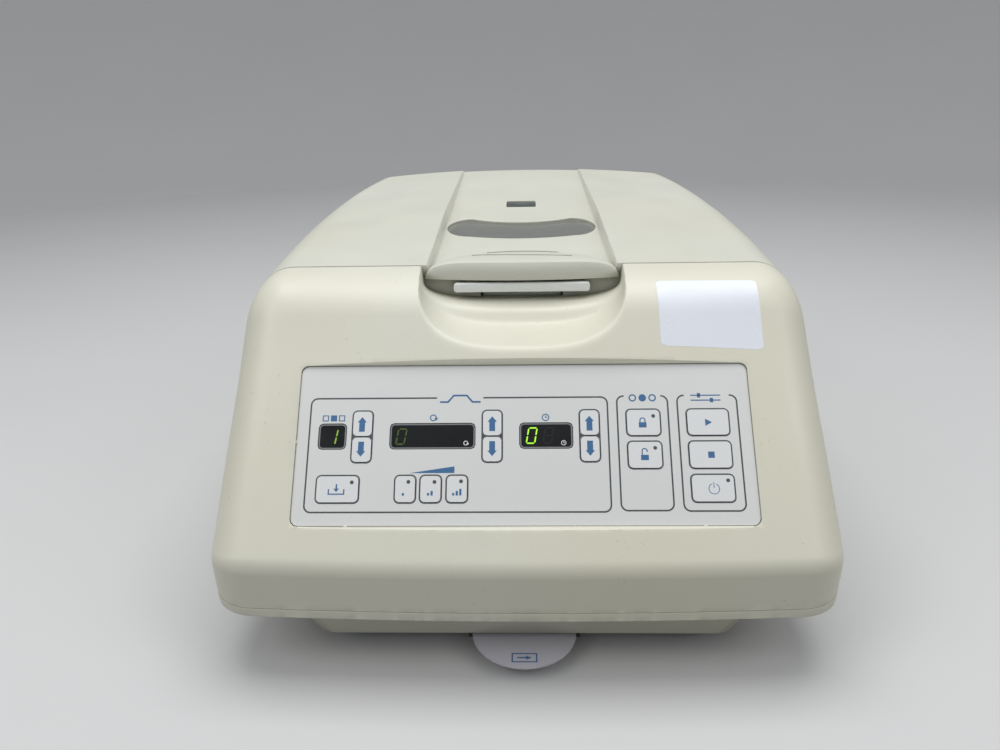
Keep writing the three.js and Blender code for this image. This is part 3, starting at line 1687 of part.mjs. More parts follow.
function driveGroup() {
  const group = new THREE.Group();
  group.add(piece("chamber_bowl", chamberBowl(), "steel"));
  group.add(piece("bowl_seal", bowlSeal(), "rubber"));
  group.add(piece("motor_housing", motorHousing(), "dark_steel"));
  group.add(piece("motor_plate", motorPlate(), "aluminium"));
  for (let i = 0; i < damper_count; i++) group.add(piece(`motor_damper_${i + 1}`, damper(i), "rubber"));
  group.add(piece("drive_shaft", driveShaft(), "steel"));
  group.add(piece("rotor_base", rotorBase(), "aluminium"));
  group.add(piece("rotor_carrier", rotorCarrier(), "black"));
  group.add(piece("rotor_lid", rotorLid(), "aluminium"));
  group.add(piece("rotor_knob", rotorKnob(), "black"));
  return group;
}

function lidGroup() {
  const group = new THREE.Group();
  group.add(piece("lid_cover", lidCover(), "lid_cream"));
  group.add(piece("lid_liner", lidLiner(), "cream"));
  group.add(piece("lid_window", paneSolid(kidneyOutline(0)), "smoked"));
  group.add(piece("speed_port_window", paneSolid(portOutline(0)), "smoked"));
  group.add(piece("latch_lever", latchLever(), "latch_white"));
  for (const [side, x] of [["left", -hinge_x], ["right", hinge_x]]) {
    group.add(piece(`${side}_hinge_bracket`, hingeBracket(x), "steel"));
    group.add(piece(`${side}_hinge_pin`, hingePin(x), "steel"));
    group.add(piece(`${side}_hinge_arm`, hingeArm(x), "steel"));
  }
  return group;
}

const cytocentrifuge = new THREE.Group();
cytocentrifuge.name = "cytocentrifuge";
cytocentrifuge.add(baseGroup(), panelGroup(), driveGroup(), lidGroup());

export default cytocentrifuge;
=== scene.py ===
"""Bench cytocentrifuge: finished shells, printed panel, materials, light and camera.

Lengths in this file are millimetres until a mesh is made. +X is right, +Y is the rear, +Z is up.
"""
from itertools import product
from math import acos, asin, atan2, copysign, cos, hypot, pi, radians, sin, sqrt, tan

import bmesh
import bpy
import numpy as np
from mathutils import Matrix, Vector
from mathutils.bvhtree import BVHTree
from mathutils.geometry import delaunay_2d_cdt


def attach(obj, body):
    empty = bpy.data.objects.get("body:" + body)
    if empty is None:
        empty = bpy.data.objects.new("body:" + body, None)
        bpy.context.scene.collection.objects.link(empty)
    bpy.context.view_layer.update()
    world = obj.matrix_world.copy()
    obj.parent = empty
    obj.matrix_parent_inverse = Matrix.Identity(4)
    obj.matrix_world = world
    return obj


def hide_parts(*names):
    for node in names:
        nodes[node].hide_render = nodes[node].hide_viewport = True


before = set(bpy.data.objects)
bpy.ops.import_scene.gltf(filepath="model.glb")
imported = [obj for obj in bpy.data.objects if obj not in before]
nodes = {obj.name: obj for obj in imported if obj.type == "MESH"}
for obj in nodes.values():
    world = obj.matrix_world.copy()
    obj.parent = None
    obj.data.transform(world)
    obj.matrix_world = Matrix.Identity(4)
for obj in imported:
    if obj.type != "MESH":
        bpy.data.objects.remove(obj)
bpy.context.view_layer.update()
MM = 0.001

# Casing outline, seen from the side
front_y = -283
rear_y = 283
apron_foot_setback = 2
rim_z = 51
crease_z = 81
crease_radius = 16
crease_end_radius = 12
least_fillet_radius = 0.5
fascia_top_y = -170.9
fascia_top_z = 222.18
fascia_top_radius = 54
roof_middle_y = 20
roof_middle_z = 240
roof_blend_reach = 30.6
roof_rear_z = 252.2
roof_rear_radius = 45
lid_rear_y = 263
lid_rear_lean = 10
fascia_slope = atan2(fascia_top_z - crease_z, fascia_top_y - front_y)

# Casing outline, seen from the front and from above
belt_half_width = 192.5
corner_radius = 28
belt_z = 66
draft_height = 150
draft_share = 0.0391
draft_curve_share = 0.0141
taper_start_y = -190
taper_blend = 100
swell_length = 3080
taper_share = 0.285
taper_run = 453
bow_radius = 3000
bow_full_y = -205
bow_end_y = -150
roof_crown_radius = 3200
roof_crown_start_y = -139
roof_crown_full_y = 60
rear_bow_radius = 600
rear_bow_start_y = 100
rear_bow_full_y = 250
wall = 3
row_runs = [(-80, 6), (-72, 1.6), (-58, 0.7), (0, 2.4)]  # ends and spacings of the points across

# Parting of case and lid
parting_y = -139
parting_z = 150
parting_corner_radius = 12
parting_gap = 1.6
rest_gap = 0.3

# Centre band, lip and finger recess
band_half_width = 64
band_edge_room = 1.4
band_wall_slope = 4.2
band_edge_blend = 0.9
band_front_z = 217
band_rear_y = 235
band_rear_z = 248.2
band_slope = (band_rear_z - band_front_z) / (band_rear_y - parting_y)
band_reach = {"half": 76, "low": 205}
lip_half_width = 65.5
lip_front_y = -147
lip_end_y = -140.5
lip_bottom_z = 216.4
lip_rise = 12.5
lip_fullness = 6
lip_end_rise = 1.2
lip_back_reach = 60
lip_back_gap = 1.2
lip_root_depth = 1
lip_stations = 72
lip_section_steps = 24
lip_section_shares = [(0.03, 0.12), (0.12, 0), (0.34, 0.06), (0.62, 0.32), (0.85, 0.7), (1, 0.9)]
recess_power = 3
recess_wall_slope = 9
recess_edge_blend = 3.2
recess_reach = {"front": -224, "half": 78, "low": 150}
recess_stages = {
    "y": [-216, -163, -156, -140, -136],
    "low": [185.5, 190.5, 199, 202.8, 202.8],
    "rise": [48, 40, 28, 13, 13],
    "half": [68, 67, 67, 67, 67],
}

# Windows in the band
window_half_width = 61.2
window_front_y = -46.2
window_rear_y = 2
window_front_radius = 130
window_rear_radius = 78
window_end_radius = 19
window_thickness = 2.4
window_sink = 0.8
port_half_width = 13.2
port_front_y = 56
port_rear_y = 79
port_corner_radius = 2

# Control panel and its print
panel_width = 275.1
panel_height = 98.25
panel_thickness = 2.5
panel_foot = (0, -263.5, 99.6)
panel_corner_radius = 4.5
panel_ledge = 7
brow_start = 1.3
sill_start = 0.1
sill_run = 2.7
sill_rise = 3.7
print_height = 0.05
print_sink = 0.02
frame_width = 0.95
frame_radius = 4
key_radius = 2.4
outline_room = 0.62
outline_width = 0.64
lamp_radius = 1.15

# Chamber, lock and lever
spindle_y = 50
bowl_hole_radius = 149.5
recess_back_z = 204.5
lever_web_half_width = 27
lever_slot_clearance = 1.2
lever_bar_y = -146
lever_bar_depth = 5
lever_lift_gap = 2
lever_bar_height = 6.4
lever_half_width = 46
lever_pivot_y = -129.5
lever_pivot_z = 194
lever_pin_radius = 2
lever_barrel_radius = 4
lever_ear_thickness = 3
lever_plate_thickness = 3
lever_web_height = 3.5
lever_end_radius = 2.2
lock_x = 108
lock_z = 186
lock_hole_radius = 4.5

# Base tray: half width, front and rear of its floor and of its rim
tray_floor_z = 12.5
tray_rim_z = 44
tray_bottom = (136, -255, 252)
tray_top = (152, -263, 260)
tray_corner_radius = 14
rim_bead = 1.2

# Rounding of the shells' edges
case_rounding = 0.7
lid_rounding = 0.6
tray_rounding = 0.5
window_rounding = 0.3
port_rounding = 0.2
lever_bar_rounding = 0.9

# Rear plate's opening and screws
rear_plate_width = 150
rear_plate_height = 58
rear_plate_thickness = 2
rear_plate_z = 66
rear_plate_step = 4.5
screw_radius = 2.9
screw_sink = 0.4
screw_dome = [(1, 0.15), (0.86, 0.4), (0.5, 0.58), (0.12, 0.62)]  # shares of the radius: out, up

overrun = 40
seam_overrun = 1
merge_distance = 0.00001


# Meshes


def add_object(name, data):
    made = bpy.data.objects.new(name, data)
    bpy.context.scene.collection.objects.link(made)
    return made


def new_object(verts, faces, triangulate=False):
    mesh = bpy.data.meshes.new("form")
    mesh.from_pydata([Vector(v) * MM for v in verts], [], [tuple(f) for f in faces])
    bm = bmesh.new()
    bm.from_mesh(mesh)
    bmesh.ops.remove_doubles(bm, verts=bm.verts, dist=merge_distance)
    bmesh.ops.dissolve_degenerate(bm, edges=bm.edges, dist=merge_distance)
    bmesh.ops.recalc_face_normals(bm, faces=bm.faces)
    if triangulate:
        bmesh.ops.triangulate(bm, faces=[f for f in bm.faces if len(f.verts) > 4])
    bm.to_mesh(mesh)
    bm.free()
    return shade(add_object("form", mesh))


def shade(made, smooth_angle=35):
    made.data.shade_smooth()
    made.data.set_sharp_from_angle(angle=radians(smooth_angle))
    return made


def add_modifier(made, kind, **values):
    modifier = made.modifiers.new(kind.lower(), kind)
    for key, value in values.items():
        setattr(modifier, key, value)


def apply_modifiers(made):
    graph = bpy.context.evaluated_depsgraph_get()
    result = bpy.data.meshes.new_from_object(made.evaluated_get(graph))
    made.modifiers.clear()
    old = made.data
    made.data = result
    bpy.data.meshes.remove(old)


def boolean(operation, made, others):
    for other in others:
        add_modifier(made, "BOOLEAN", object=other, operation=operation, solver="MANIFOLD")
        apply_modifiers(made)
        bpy.data.objects.remove(other)
    return made


def cut(made, *others):
    return boolean("DIFFERENCE", made, others)


def join(made, *others):
    return boolean("UNION", made, others)


def common(made, *others):
    return boolean("INTERSECT", made, others)


def add_bevel(made, width, segments, angle, **values):
    limit = {"limit_method": "ANGLE", "angle_limit": radians(angle)}
    add_modifier(made, "BEVEL", width=width * MM, segments=segments, **limit, **values)


def bevel(made, width, segments=2, angle=38, smooth_angle=60):
    add_bevel(made, width, segments, angle)
    apply_modifiers(made)
    return shade(made, smooth_angle)


def box_mesh(low, high):
    faces = [(0, 1, 3, 2), (4, 6, 7, 5), (0, 4, 5, 1), (2, 3, 7, 6), (0, 2, 6, 4), (1, 5, 7, 3)]
    return new_object(list(product(*zip(low, high))), faces)


def prism_faces(a, count):
    """Faces of a prism whose lower corners are numbered from a, followed by its upper ones."""
    b = a + count
    steps = [(i, (i + 1) % count) for i in range(count)]
    ends = [tuple(reversed(range(a, b))), tuple(range(b, b + count))]
    return ends + [(a + i, a + k, b + k, b + i) for i, k in steps]


def band_faces(starts, count):
    """Faces between neighbouring rings of a count of corners, given each ring's first corner."""
    steps = [(i, (i + 1) % count) for i in range(count)]
    return [(a + i, a + k, b + k, b + i) for a, b in zip(starts, starts[1:]) for i, k in steps]


def prism(points, low, high, put=lambda a, b, c: (a, b, c)):
    """A flat outline of (a, b) points between two heights, put in place by a function."""
    verts = [put(a, b, height) for height in (low, high) for a, b in points]
    return new_object(verts, prism_faces(0, len(points)))


def along_x(a, b, c):
    return (c, a, b)


def arc(centre, radius, start, end, steps):
    angles = [start + (end - start) * i / steps for i in range(steps + 1)]
    return [(centre[0] + radius * cos(t), centre[1] + radius * sin(t)) for t in angles]


def arc_degrees(radius, start, end, centre=(0, 0), steps=20):
    return arc(centre, radius, radians(start), radians(end), steps)


def circle(radius, steps=28, centre=(0, 0)):
    return arc(centre, radius, 0, 2 * pi * (1 - 1 / steps), steps - 1)


def rounded_rectangle(width, height, radius, centre=(0, 0), steps=8):
    points = []
    for i, (sx, sy) in enumerate([(1, 1), (-1, 1), (-1, -1), (1, -1)]):
        corner = (centre[0] + sx * (width / 2 - radius), centre[1] + sy * (height / 2 - radius))
        points += arc(corner, radius, i * pi / 2, (i + 1) * pi / 2, steps)
    return points


def rod(radius, low, high, centre, axis="z", steps=48):
    x, y, z = centre
    puts = {
        "x": lambda a, b, c: (x + c, y + a, z + b),
        "y": lambda a, b, c: (x + b, y + c, z + a),
        "z": lambda a, b, c: (x + a, y + b, z + c),
    }
    return prism(circle(radius, steps), low, high, puts[axis])


def rings_mesh(rings, closed_ends=True):
    count = len(rings[0])
    verts = [point for ring in rings for point in ring]
    faces = band_faces(range(0, len(verts), count), count)
    if closed_ends:
        faces.append(tuple(reversed(range(count))))
        faces.append(tuple(range(len(verts) - count, len(verts))))
    return new_object(verts, faces)


# Casing surface


def inset_chain(corners, depth):
    """The side profile with its fillets, moved inwards by a depth. Inside, a point is y + z * 1j."""
    places = [complex(*corner["at"]) for corner in corners]
    runs = [(after - before) / abs(after - before) for before, after in zip(places, places[1:])]
    lines = [(place - 1j * run * depth, run) for place, run in zip(places, runs)]

    def at_height(line, z):
        place, run = line
        return complex(place.real + run.real * (z - place.imag) / run.imag, z)

    def meet(first, second):
        (p, along), (q, across) = first, second
        return p + along * (((q - p).conjugate() * across).imag / (along.conjugate() * across).imag)

    points = [at_height(lines[0], places[0].imag)]
    for i, corner in enumerate(corners[1:], 1):
        end = i == len(corners) - 1
        before, u, v = points[-1], runs[i - 1], runs[-1 if end else i]
        turn = acos(min(1, (u.conjugate() * v).real))
        whole = corner["reach"] / tan(turn / 2) if "reach" in corner else corner["radius"]
        radius = 0 if end else max(whole - depth, corner.get("least", least_fillet_radius))
        edge = at_height(lines[-1], places[-1].imag) if end else meet(lines[i - 1], lines[i])
        start = edge - u * (radius * tan(turn / 2))
        straight = corners[i - 1]["straight"]
        points += [before + (start - before) * (k / straight) for k in range(1, straight + 1)]
        if not end:
            centre = start - 1j * u * radius
            turns = [-turn * k / corner["steps"] for k in range(1, corner["steps"] + 1)]
            points += [centre + (start - centre) * complex(cos(angle), sin(angle)) for angle in turns]
    return [(point.real, point.imag) for point in points]


def casing_corners(bottom_z, rear_foot_y, rear_lean, fine):
    """Corners of the side profile, with the steps round each and along the run after it."""
    foot_y = rear_foot_y + rear_lean * (parting_z - bottom_z) / (roof_rear_z - parting_z)

    def corner(y, z, steps=0, straight=0, **fillet):
        steps, straight = (count if fine else max(1, count // 6) for count in (steps, straight))
        return {"at": (y, z), "steps": steps, "straight": straight, "radius": 0, **fillet}

    return [
        corner(front_y + apron_foot_setback, bottom_z, 0, 6),
        corner(front_y, crease_z, 18, 48, radius=crease_radius, least=crease_end_radius),
        corner(fascia_top_y, fascia_top_z, 36, 54, radius=fascia_top_radius),
        corner(roof_middle_y, roof_middle_z, 8, 36, reach=roof_blend_reach),
        corner(rear_foot_y - rear_lean, roof_rear_z, 20, 18, radius=roof_rear_radius),
        corner(foot_y, bottom_z),
    ]


def smooth(value, low, high):
    share = min(1, max(0, (value - low) / (high - low)))
    return share * share * (3 - 2 * share)


def shape_point(x, y, z):
    """Draft, swelling and tapering sides, bowed front and rear, and crowned roof."""
    rise = max(0, z - belt_z) / draft_height
    draft = 1 - draft_share * rise - draft_curve_share * rise * rise
    past = max(0, y - taper_start_y)
    blended = past * past / (2 * taper_blend) if past < taper_blend else past - taper_blend / 2
    taper = 1 + blended / swell_length - taper_share * (past / taper_run) ** 3
    bow = (1 - smooth(y, bow_full_y, bow_end_y)) * x * x / (2 * bow_radius)
    crown = smooth(y, roof_crown_start_y, roof_crown_full_y) * x * x / (2 * roof_crown_radius)
    high = smooth(z, parting_z, roof_middle_z)
    rear_bow = high * smooth(y, rear_bow_start_y, rear_bow_full_y) * x * x / (2 * rear_bow_radius)
    return (x * draft * taper, y + bow - rear_bow, z - crown * high)


def spaced(low, high, spacing):
    count = max(1, round((high - low) / spacing))
    return [low + (high - low) * i / count for i in range(count)]


def casing_block(depth, bottom_z, rear_foot_y=rear_y, rear_lean=0, fine=False, sculpt=None):
    """The whole casing as one block, moved inwards by a depth. Sculpt lowers the top surface."""
    corners = casing_corners(bottom_z, rear_foot_y, rear_lean, fine)
    half = belt_half_width - depth
    radius = corner_radius - depth
    reach = half - radius
    corner_steps, cap_spacing = (12, 6) if fine else (4, 40)
    angles = [pi / 2 * (1 - i / corner_steps) for i in range(corner_steps + 1)]
    left = [(-reach - radius * sin(t), radius * (1 - cos(t))) for t in angles]
    if fine:
        half_row, start = [], -reach
        for end, spacing in row_runs:
            half_row += spaced(start, end, spacing)
            start = end
        across = half_row[1:] + [0] + [-x for x in reversed(half_row[1:])]
    else:
        steps = 6
        across = [reach * (2 * i / steps - 1) for i in range(1, steps)]
    stations = left + [(x, 0) for x in across] + [(-x, inset) for x, inset in reversed(left)]
    chains = {inset: inset_chain(corners, inset + depth) for inset in {inset for _, inset in stations}}
    side = chains[stations[0][1]]
    rows = []
    for i in range(len(side)):
        row = [shape_point(x, *chains[inset][i]) for x, inset in stations]
        rows.append([sculpt(*point) for point in row] if sculpt else row)
    width = len(stations)
    verts = [point for row in rows for point in row]
    faces = []
    for i in range(len(rows) - 1):
        for a in range(i * width, i * width + width - 1):
            faces.append((a, a + 1, a + width + 1, a + width))
    cap, triangles = filled_outline(side, cap_spacing)
    for sign in (-1, 1):
        start = len(verts)
        verts += [shape_point(sign * half, y, z) for y, z in cap]
        faces += [tuple(start + k for k in triangle) for triangle in triangles]
    start = len(verts)
    verts += rows[0] + rows[-1][::-1]
    faces.append(tuple(range(start, len(verts))))
    return new_object(verts, faces, triangulate=True)


def filled_outline(outline, spacing):
    """Triangles that fill a flat outline, with a grid of points inside it."""
    ring = np.array(outline)
    low, high = ring.min(0), ring.max(0)
    following = np.roll(ring, -1, 0)
    run = following - ring
    inner = []
    for a in np.arange(low[0] + spacing / 2, high[0], spacing):
        for b in np.arange(low[1] + spacing / 2, high[1], spacing):
            crossed = (ring[:, 1] > b) != (following[:, 1] > b)
            with np.errstate(divide="ignore", invalid="ignore"):
                cuts = ring[:, 0] + run[:, 0] * (b - ring[:, 1]) / run[:, 1]
            inside = np.count_nonzero(crossed & (cuts > a)) % 2
            if inside and np.hypot(ring[:, 0] - a, ring[:, 1] - b).min() > spacing / 2:
                inner.append((a, b))
    points = [Vector(point) for point in outline + inner]
    found = delaunay_2d_cdt(points, [], [list(range(len(outline)))], 1, 1e-6)
    return [tuple(point) for point in found[0]], [tuple(face) for face in found[2]]


def lower_of(a, b, blend):
    """The lower of two heights, with the edge between them rounded."""
    share = min(1, max(0, 0.5 + 0.5 * (b - a) / blend))
    return b * (1 - share) + a * share - blend * share * (1 - share)


def recess_height(x, y):
    """Height of the finger recess, averaged over a few places so that its stages join smoothly."""
    total = 0
    shifts = (-2, -1, 0, 1, 2)
    for shift in shifts:
        stage = [np.interp(y + shift, recess_stages["y"], recess_stages[key]) for key in recess_stages]
        _, low, rise, half = stage
        across = abs(x) / half
        if across < 1:
            total += low + rise * (1 - (1 - across**recess_power) ** (1 / recess_power))
        else:
            total += low + rise + (abs(x) - half) * recess_wall_slope
    return total / len(shifts)


def sculpt_recess(x, y, z):
    if y < recess_reach["front"] or abs(x) > recess_reach["half"] or z < recess_reach["low"]:
        return (x, y, z)
    return (x, y, lower_of(z, recess_height(x, y), recess_edge_blend))


def band_z(y):
    return band_front_z + band_slope * (y - parting_y)


def sculpt_band(x, y, z):
    if abs(x) > band_reach["half"] or z < band_reach["low"]:
        return (x, y, z)
    past = abs(x) - (band_half_width - band_edge_room)
    floor = band_z(y) + (0 if past < 0 else past * band_wall_slope)
    return (x, y, lower_of(z, floor, band_edge_blend))


def lid_zone(grow):
    front, low = parting_y - grow, parting_z - grow
    radius = parting_corner_radius
    corner = arc((front + radius, low + radius), radius, -pi / 2, -pi, steps=12)
    back, top, side = rear_y + overrun, roof_rear_z + overrun, belt_half_width + overrun
    return prism([(back, low), (back, top), (front, top)] + corner[::-1], -side, side, along_x)


def band_cutter(grow):
    front, rear = parting_y - overrun, band_rear_y + overrun
    top = roof_rear_z + overrun
    outline = [(front, band_z(front) - grow), (rear, band_z(rear) - grow), (rear, top), (front, top)]
    half = band_half_width + grow
    return prism(outline, -half, half, along_x)


def recess_cutter(grow):
    """A plain scoop, used to keep the wall's thickness under the recess."""
    steps = 16
    top = roof_middle_z + overrun
    rings = []
    for y, low, rise, half in zip(*recess_stages.values()):
        reach = half + grow
        curve = []
        for i in range(steps + 1):
            c, s = cos(pi * i / steps), sin(pi * i / steps)
            across = copysign(abs(c) ** (2 / recess_power), c)
            curve.append((reach * across, y, low - grow + rise * (1 - abs(s) ** (2 / recess_power))))
        rings.append([(reach, y, top)] + curve + [(-reach, y, top)])
    return rings_mesh(rings)


# Panel frame: u runs along the panel's foot, v up the slope and w out of the panel

panel_cos, panel_sin = cos(fascia_slope), sin(fascia_slope)


def on_panel(u, v, w):
    x, y, z = panel_foot
    return (x + u, y + v * panel_cos - w * panel_sin, z + v * panel_sin + w * panel_cos)


def panel_slab(grow, radius, low):
    """The panel's outline, made larger, from a level in the panel frame to well above it."""
    size = (panel_width + 2 * grow, panel_height + 2 * grow)
    return prism(rounded_rectangle(*size, radius, (0, panel_height / 2)), low, overrun, on_panel)


def panel_brow():
    """Upright face over the panel's top edge, cut into the bowed fascia."""
    half = panel_width / 2 + rest_gap
    _, back, low = on_panel(0, panel_height + rest_gap, brow_start)
    return box_mesh((-half, back - overrun, low), (half, back, low + overrun))


def panel_sill():
    """Chamfer along the panel's lower edge, wider where the fascia bows out."""
    half = panel_width / 2 - panel_corner_radius
    foot, middle, top = -rest_gap, panel_height / 2, 4 * sill_rise
    outline = [(foot, sill_start), (middle, sill_start), (middle, top), (foot - 4 * sill_run, top)]
    return prism(outline, -half, half, lambda a, b, c: on_panel(c, a, b))


# Casing parts


def rear_room(grow, front, back):
    half = rear_plate_width / 2 + grow
    top = rear_plate_z + rear_plate_height + grow
    return box_mesh((-half, front, rear_plate_z - grow), (half, back, top))


def make_upper_case():
    pocket_floor = -panel_thickness - rest_gap
    plate_back = rear_y - rear_plate_step - rear_plate_thickness - rest_gap
    case = casing_block(0, rim_z, fine=True, sculpt=sculpt_recess)
    cut(case, lid_zone(0))
    hollow = cut(
        casing_block(wall, rim_z - seam_overrun),
        lid_zone(wall),
        recess_cutter(wall),
        panel_slab(wall, panel_corner_radius + wall, pocket_floor - wall),
        rear_room(wall, plate_back - wall, rear_y),
    )
    return cut(
        case,
        hollow,
        panel_slab(rest_gap, panel_corner_radius, pocket_floor),
        panel_slab(-panel_ledge, panel_corner_radius, pocket_floor - overrun),
        rear_room(rest_gap, plate_back, rear_y + overrun),
        rear_room(-panel_ledge, rear_y - overrun, rear_y + overrun),
        panel_brow(),
        panel_sill(),
        rod(bowl_hole_radius, -overrun, overrun, (0, spindle_y, parting_z), steps=96),
        rod(lock_hole_radius, parting_y - wall - overrun, parting_y + seam_overrun, (lock_x, 0, lock_z), "y"),
    )


def kidney_outline(grow):
    front, rear = window_front_y - grow, window_rear_y + grow
    end_x = window_half_width - window_end_radius
    front_angle = asin(end_x / window_front_radius)
    rear_angle = asin(end_x / window_rear_radius)
    front_centre, rear_centre = (0, front + window_front_radius), (0, rear + window_rear_radius)
    down = -pi / 2
    front_arc = arc(front_centre, window_front_radius, down - front_angle, down + front_angle, steps=24)
    rear_arc = arc(rear_centre, window_rear_radius, down + rear_angle, down - rear_angle, steps=24)
    low, high = front_arc[-1][1], rear_arc[0][1]
    middle, half = (low + high) / 2, (high - low) / 2

    def end(sign):
        turn = arc((0, 0), 1, -pi / 2, pi / 2, steps=20)[1:-1]
        return [(sign * (end_x + (window_end_radius + grow) * a), middle + half * b) for a, b in turn]

    return front_arc + end(1) + rear_arc + end(-1)[::-1]


def port_outline(grow):
    width = 2 * (port_half_width + grow)
    height = port_rear_y - port_front_y + 2 * grow
    return rounded_rectangle(width, height, port_corner_radius, (0, (port_front_y + port_rear_y) / 2))


def smooth_table(value, places, heights, reach=0.05):
    """A table's value, averaged over a short reach so that its corners are round."""
    shifts = [reach * i / 4 for i in range(-4, 5)]
    return sum(float(np.interp(value + shift, places, heights)) for shift in shifts) / len(shifts)


def make_lip():
    places, drops = zip(*lip_section_shares)
    rings = []
    for i in range(lip_stations + 1):
        share = sin(pi / 2 * (2 * i / lip_stations - 1))
        bulge = 1 - share * share
        height = sqrt(max(0, 1 - abs(share) ** lip_fullness))
        front = lip_end_y + (lip_front_y - lip_end_y) * bulge
        back = parting_y + lip_back_gap + lip_back_reach * sqrt(max(0, bulge))
        top = lip_bottom_z + lip_end_rise + (lip_rise - lip_end_rise) * height
        foot = min(band_z(back), top) - lip_root_depth
        section = [(back, foot - lip_root_depth), (front, lip_bottom_z)]
        section.append((front - rest_gap, lip_bottom_z + (top - lip_bottom_z) / 2))
        for k in range(lip_section_steps + 1):
            part = places[0] + (1 - places[0]) * k / lip_section_steps
            drop = smooth_table(part, places, drops)
            section.append((front + (back - front) * part, top - (top - foot) * drop))
        rings.append([(lip_half_width * share, y, z) for y, z in section])
    return rings_mesh(rings)


def lever_ears():
    """The two ears under the lid that hold the lever's pin."""
    inside = lever_web_half_width + lever_slot_clearance
    outside = inside + lever_ear_thickness
    front, back = parting_y + parting_gap + wall / 2, lever_pivot_y + lever_barrel_radius
    low, high = lever_pivot_z - lever_barrel_radius, lever_pivot_z + lever_barrel_radius
    sides = [(-outside, -inside), (inside, outside)]
    return [box_mesh((left, front, low), (right, back, high)) for left, right in sides]


def make_lever():
    low = lip_bottom_z - lever_lift_gap - lever_bar_height
    web_top = low + lever_web_height
    front = lever_pivot_y - lever_plate_thickness / 2
    back = front + lever_plate_thickness
    half = lever_web_half_width
    centre = (0, low + lever_bar_height / 2)
    face = rounded_rectangle(2 * lever_half_width, lever_bar_height, lever_end_radius, centre)
    bar = prism(face, lever_bar_y, lever_bar_y + lever_bar_depth, lambda a, b, c: (a, c, b))
    bevel(bar, lever_bar_rounding, segments=3)
    pivot = (0, lever_pivot_y, lever_pivot_z)
    pin_reach = half + lever_slot_clearance + lever_ear_thickness
    return join(
        bar,
        box_mesh((-half, lever_bar_y + lever_bar_depth / 2, low + rest_gap), (half, back, web_top)),
        box_mesh((-half, front, lever_pivot_z), (half, back, web_top - rest_gap)),
        rod(lever_barrel_radius, -half, half, pivot, "x"),
        rod(lever_pin_radius, -pin_reach, pin_reach, pivot, "x"),
    )


def make_lid_cover():
    lid = casing_block(0, rim_z, lid_rear_y, lid_rear_lean, fine=True, sculpt=sculpt_band)
    common(lid, lid_zone(-parting_gap))
    hollow = casing_block(wall, rim_z - seam_overrun, lid_rear_y, lid_rear_lean)
    zone = lid_zone(-parting_gap - wall)
    zone.data.transform(Matrix.Translation((0, 0, -overrun * MM)))
    common(hollow, zone)
    cut(hollow, band_cutter(wall))
    cut(lid, hollow)
    join(lid, make_lip(), *lever_ears())
    slot_half = lever_web_half_width + lever_slot_clearance
    slot_low = (-slot_half, lever_bar_y + lever_bar_depth, recess_back_z - parting_gap)
    back = parting_y + parting_gap + wall + seam_overrun
    through, top = parting_z + overrun, roof_rear_z + overrun
    return cut(
        lid,
        box_mesh(slot_low, (slot_half, back, lip_bottom_z - rest_gap)),
        rod(lock_hole_radius, parting_y - seam_overrun, back, (lock_x, 0, lock_z), "y"),
        prism(kidney_outline(rest_gap), through, top),
        prism(port_outline(rest_gap), through, top),
        rod(lever_pin_radius + rest_gap, -overrun, overrun, (0, lever_pivot_y, lever_pivot_z), "x"),
    )


def make_pane(outline):
    """A window's outline, kept where it meets a sheet just under the band's surface."""
    front, rear = parting_y, band_rear_y
    low, high = window_sink + window_thickness, window_sink
    places = [(front, low), (rear, low), (rear, high), (front, high)]
    section = [(y, band_z(y) - sink) for y, sink in places]
    sheet = prism(section, -belt_half_width, belt_half_width, along_x)
    return common(prism(outline, 0, roof_rear_z), sheet)


def make_tub(grow, low, high):
    rings = []
    for z in (high, low):
        share = (z - tray_floor_z) / (tray_rim_z - tray_floor_z)
        ends = zip(tray_bottom, tray_top, (-grow, grow, -grow))
        half, front, rear = (a + (b - a) * share + shift for a, b, shift in ends)
        outline = rounded_rectangle(2 * half, rear - front, tray_corner_radius, (0, (front + rear) / 2), 10)
        rings.append([(x, y + (x * x / (2 * bow_radius) if y < 0 else 0), z) for x, y in outline])
    return rings_mesh(rings)


def make_base_tray():
    side = belt_half_width + overrun

    def band(depth, z):
        """The casing's outline from a height up to the case's rim."""
        slab = box_mesh((-side, front_y - overrun, z), (side, rear_y + overrun, rim_z - rest_gap))
        return common(casing_block(depth, z, fine=True), slab)

    rim = band(0, tray_rim_z + rim_bead)
    join(rim, band(rim_bead, tray_rim_z), make_tub(0, tray_floor_z, tray_rim_z + rim_bead))
    return cut(rim, make_tub(wall, tray_floor_z + wall, rim_z + seam_overrun))


# Materials

materials = {}


